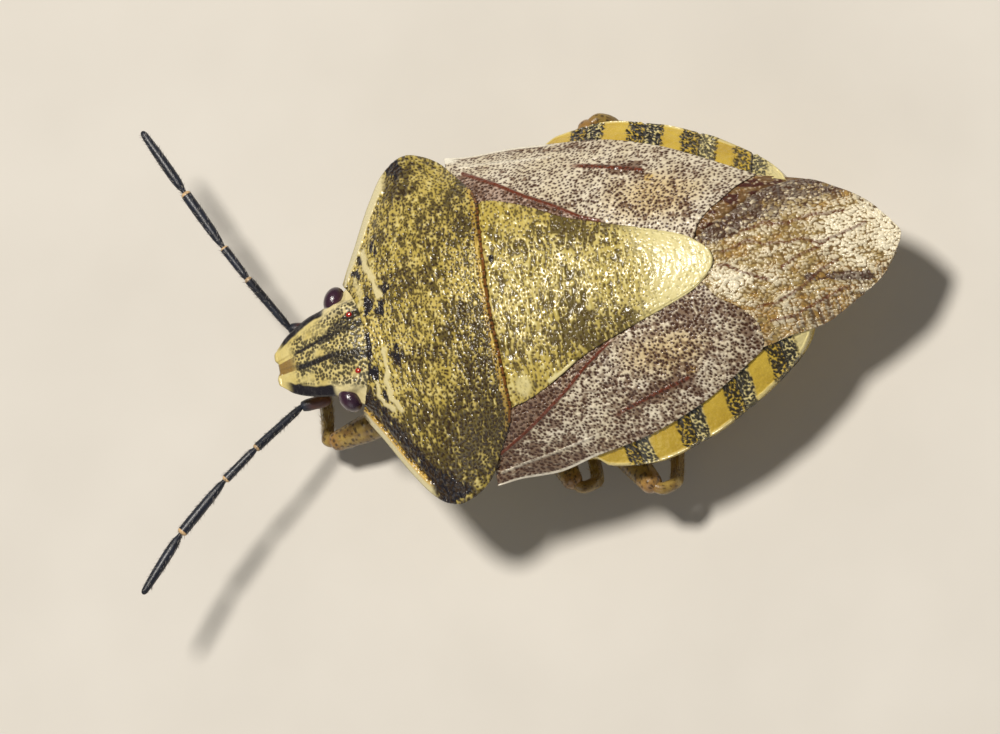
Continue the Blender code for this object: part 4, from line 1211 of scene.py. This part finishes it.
def make_eyes():
    facets = bmesh.new()
    bmesh.ops.create_icosphere(facets, subdivisions=5, radius=1.0)
    tree = kdtree.KDTree(len(facets.verts))
    for i, facet in enumerate(facets.verts):
        tree.insert(facet.co, i)
    tree.balance()
    facets.free()
    skin = cuticle("eye_plum", (0.045, 0.014, 0.03), (0.02, 0.008, 0.02),
                   [("rim", (0.8, 0.74, 0.6)), ("edge", (0.16, 0.04, 0.03))], 0.16, relief=0.1,
                   coat=0.6, patch=0.3)
    for side, sign in (("left", 1), ("right", -1)):
        mesh = ball("eye_" + side, 7)
        x, y, z = corners(mesh)
        gap = np.array([tree.find(place)[2] for place in np.stack([x, y, z], 1)])
        swell = 1 + FACET_SWELL * unit(1 - (gap / FACET_RADIUS) ** 2)
        s = EYE_S + swell * (EYE_ACROSS[0] * x + EYE_ALONG[0] * y)
        t = EYE_T + swell * (EYE_ACROSS[1] * x + EYE_ALONG[1] * y)
        set_corners(mesh, s, sign * t, EYE_Z + EYE_UP * z * swell)
        set_inks(mesh, {"rim": step(-x, 0.55, 0.75), "edge": 0.7 * step(0.4 - z, 0.0, 0.8)})
        closed(mesh)
        add_piece("eye_facets_" + side, "eye_" + side, skin, mesh)


def make_ocelli():
    glass = cuticle("ocellus_red", (0.42, 0.02, 0.008), (0.25, 0.01, 0.005), [], 0.12, coat=0.6)
    s, t = OCELLUS
    half_s, half_t, half_z = OCELLUS_SIZE
    for side, sign in (("left", 1), ("right", -1)):
        mesh = ball("ocellus_" + side, 4)
        x, y, z = corners(mesh)
        set_corners(mesh, s + half_s * y, sign * t + half_t * x, head_top(s, t) + half_z * z)
        closed(mesh)
        add_piece("ocellus_glass_" + side, "head", glass, mesh)


# Camera, light and floor

FRAME_MIDDLE = (4.4, 0.04)  # from the head's tip, across and up the picture


def add_camera():
    right = Vector((0.160, 0.945, -0.285)).normalized()
    back_way = Vector((0.210, 0.249, 0.945)).normalized()
    up = back_way.cross(right).normalized()
    right = up.cross(back_way)
    distance = 500 * MM
    frame_width = 20 * MM
    head_tip = Vector((-MIDDLE_T, -MIDDLE_S, -FLOOR_Z)) * MM
    middle = head_tip + (right * FRAME_MIDDLE[0] + up * FRAME_MIDDLE[1]) * MM
    data = bpy.data.cameras.new("camera")
    data.lens = data.sensor_width * distance / frame_width
    data.clip_start = 10 * MM
    data.clip_end = 10
    camera = bpy.data.objects.new("camera", data)
    turn = Matrix((right, up, back_way)).transposed()
    camera.matrix_world = Matrix.Translation(middle + back_way * distance) @ turn.to_4x4()
    bpy.context.scene.collection.objects.link(camera)
    bpy.context.scene.camera = camera


def add_light(name, towards, distance, size, power, colour=(1, 1, 1)):
    data = bpy.data.lights.new(name, "AREA")
    data.shape = "DISK"
    data.size = size * MM
    data.energy = power
    data.color = colour
    lamp = bpy.data.objects.new(name, data)
    towards = Vector(towards).normalized()
    lamp.location = towards * distance * MM
    lamp.rotation_euler = towards.to_track_quat("Z", "Y").to_euler()
    bpy.context.scene.collection.objects.link(lamp)


def add_studio():
    add_light("key", (-0.21, -0.06, 0.96), distance=160, size=26, power=0.28, colour=(1.0, 0.95, 0.87))
    add_light("side_fill", (0.9, -0.3, 0.6), distance=200, size=150, power=0.05)
    world = bpy.data.worlds.new("studio")
    world.use_nodes = True
    tree = world.node_tree
    feed(tree, tree.nodes["Background"], {"Color": (1.0, 0.98, 0.94), "Strength": 0.13})
    bpy.context.scene.world = world
    bm = bmesh.new()
    bmesh.ops.create_grid(bm, x_segments=1, y_segments=1, size=0.5)
    mesh = mesh_of("floor", bm)
    material = bpy.data.materials.new("pale_floor")
    material.use_nodes = True
    tree = material.node_tree
    colour = blended(tree, ranged(tree, noise(tree, 4.0), 0.0, 1.0), (0.6, 0.57, 0.52), (0.64, 0.61, 0.56))
    feed(tree, tree.nodes["Principled BSDF"], {"Base Color": colour, "Roughness": 0.8})
    mesh.materials.append(material)
    floor = bpy.data.objects.new("floor", mesh)
    bpy.context.scene.collection.objects.link(floor)
    bpy.context.scene.view_settings.view_transform = "Standard"


make_head()
make_eyes()
make_ocelli()
make_beak()
make_feelers()
make_legs()
make_pronotum()
make_scutellum()
make_forewings()
make_membranes()
make_thorax()
make_abdomen()
add_camera()
add_studio()
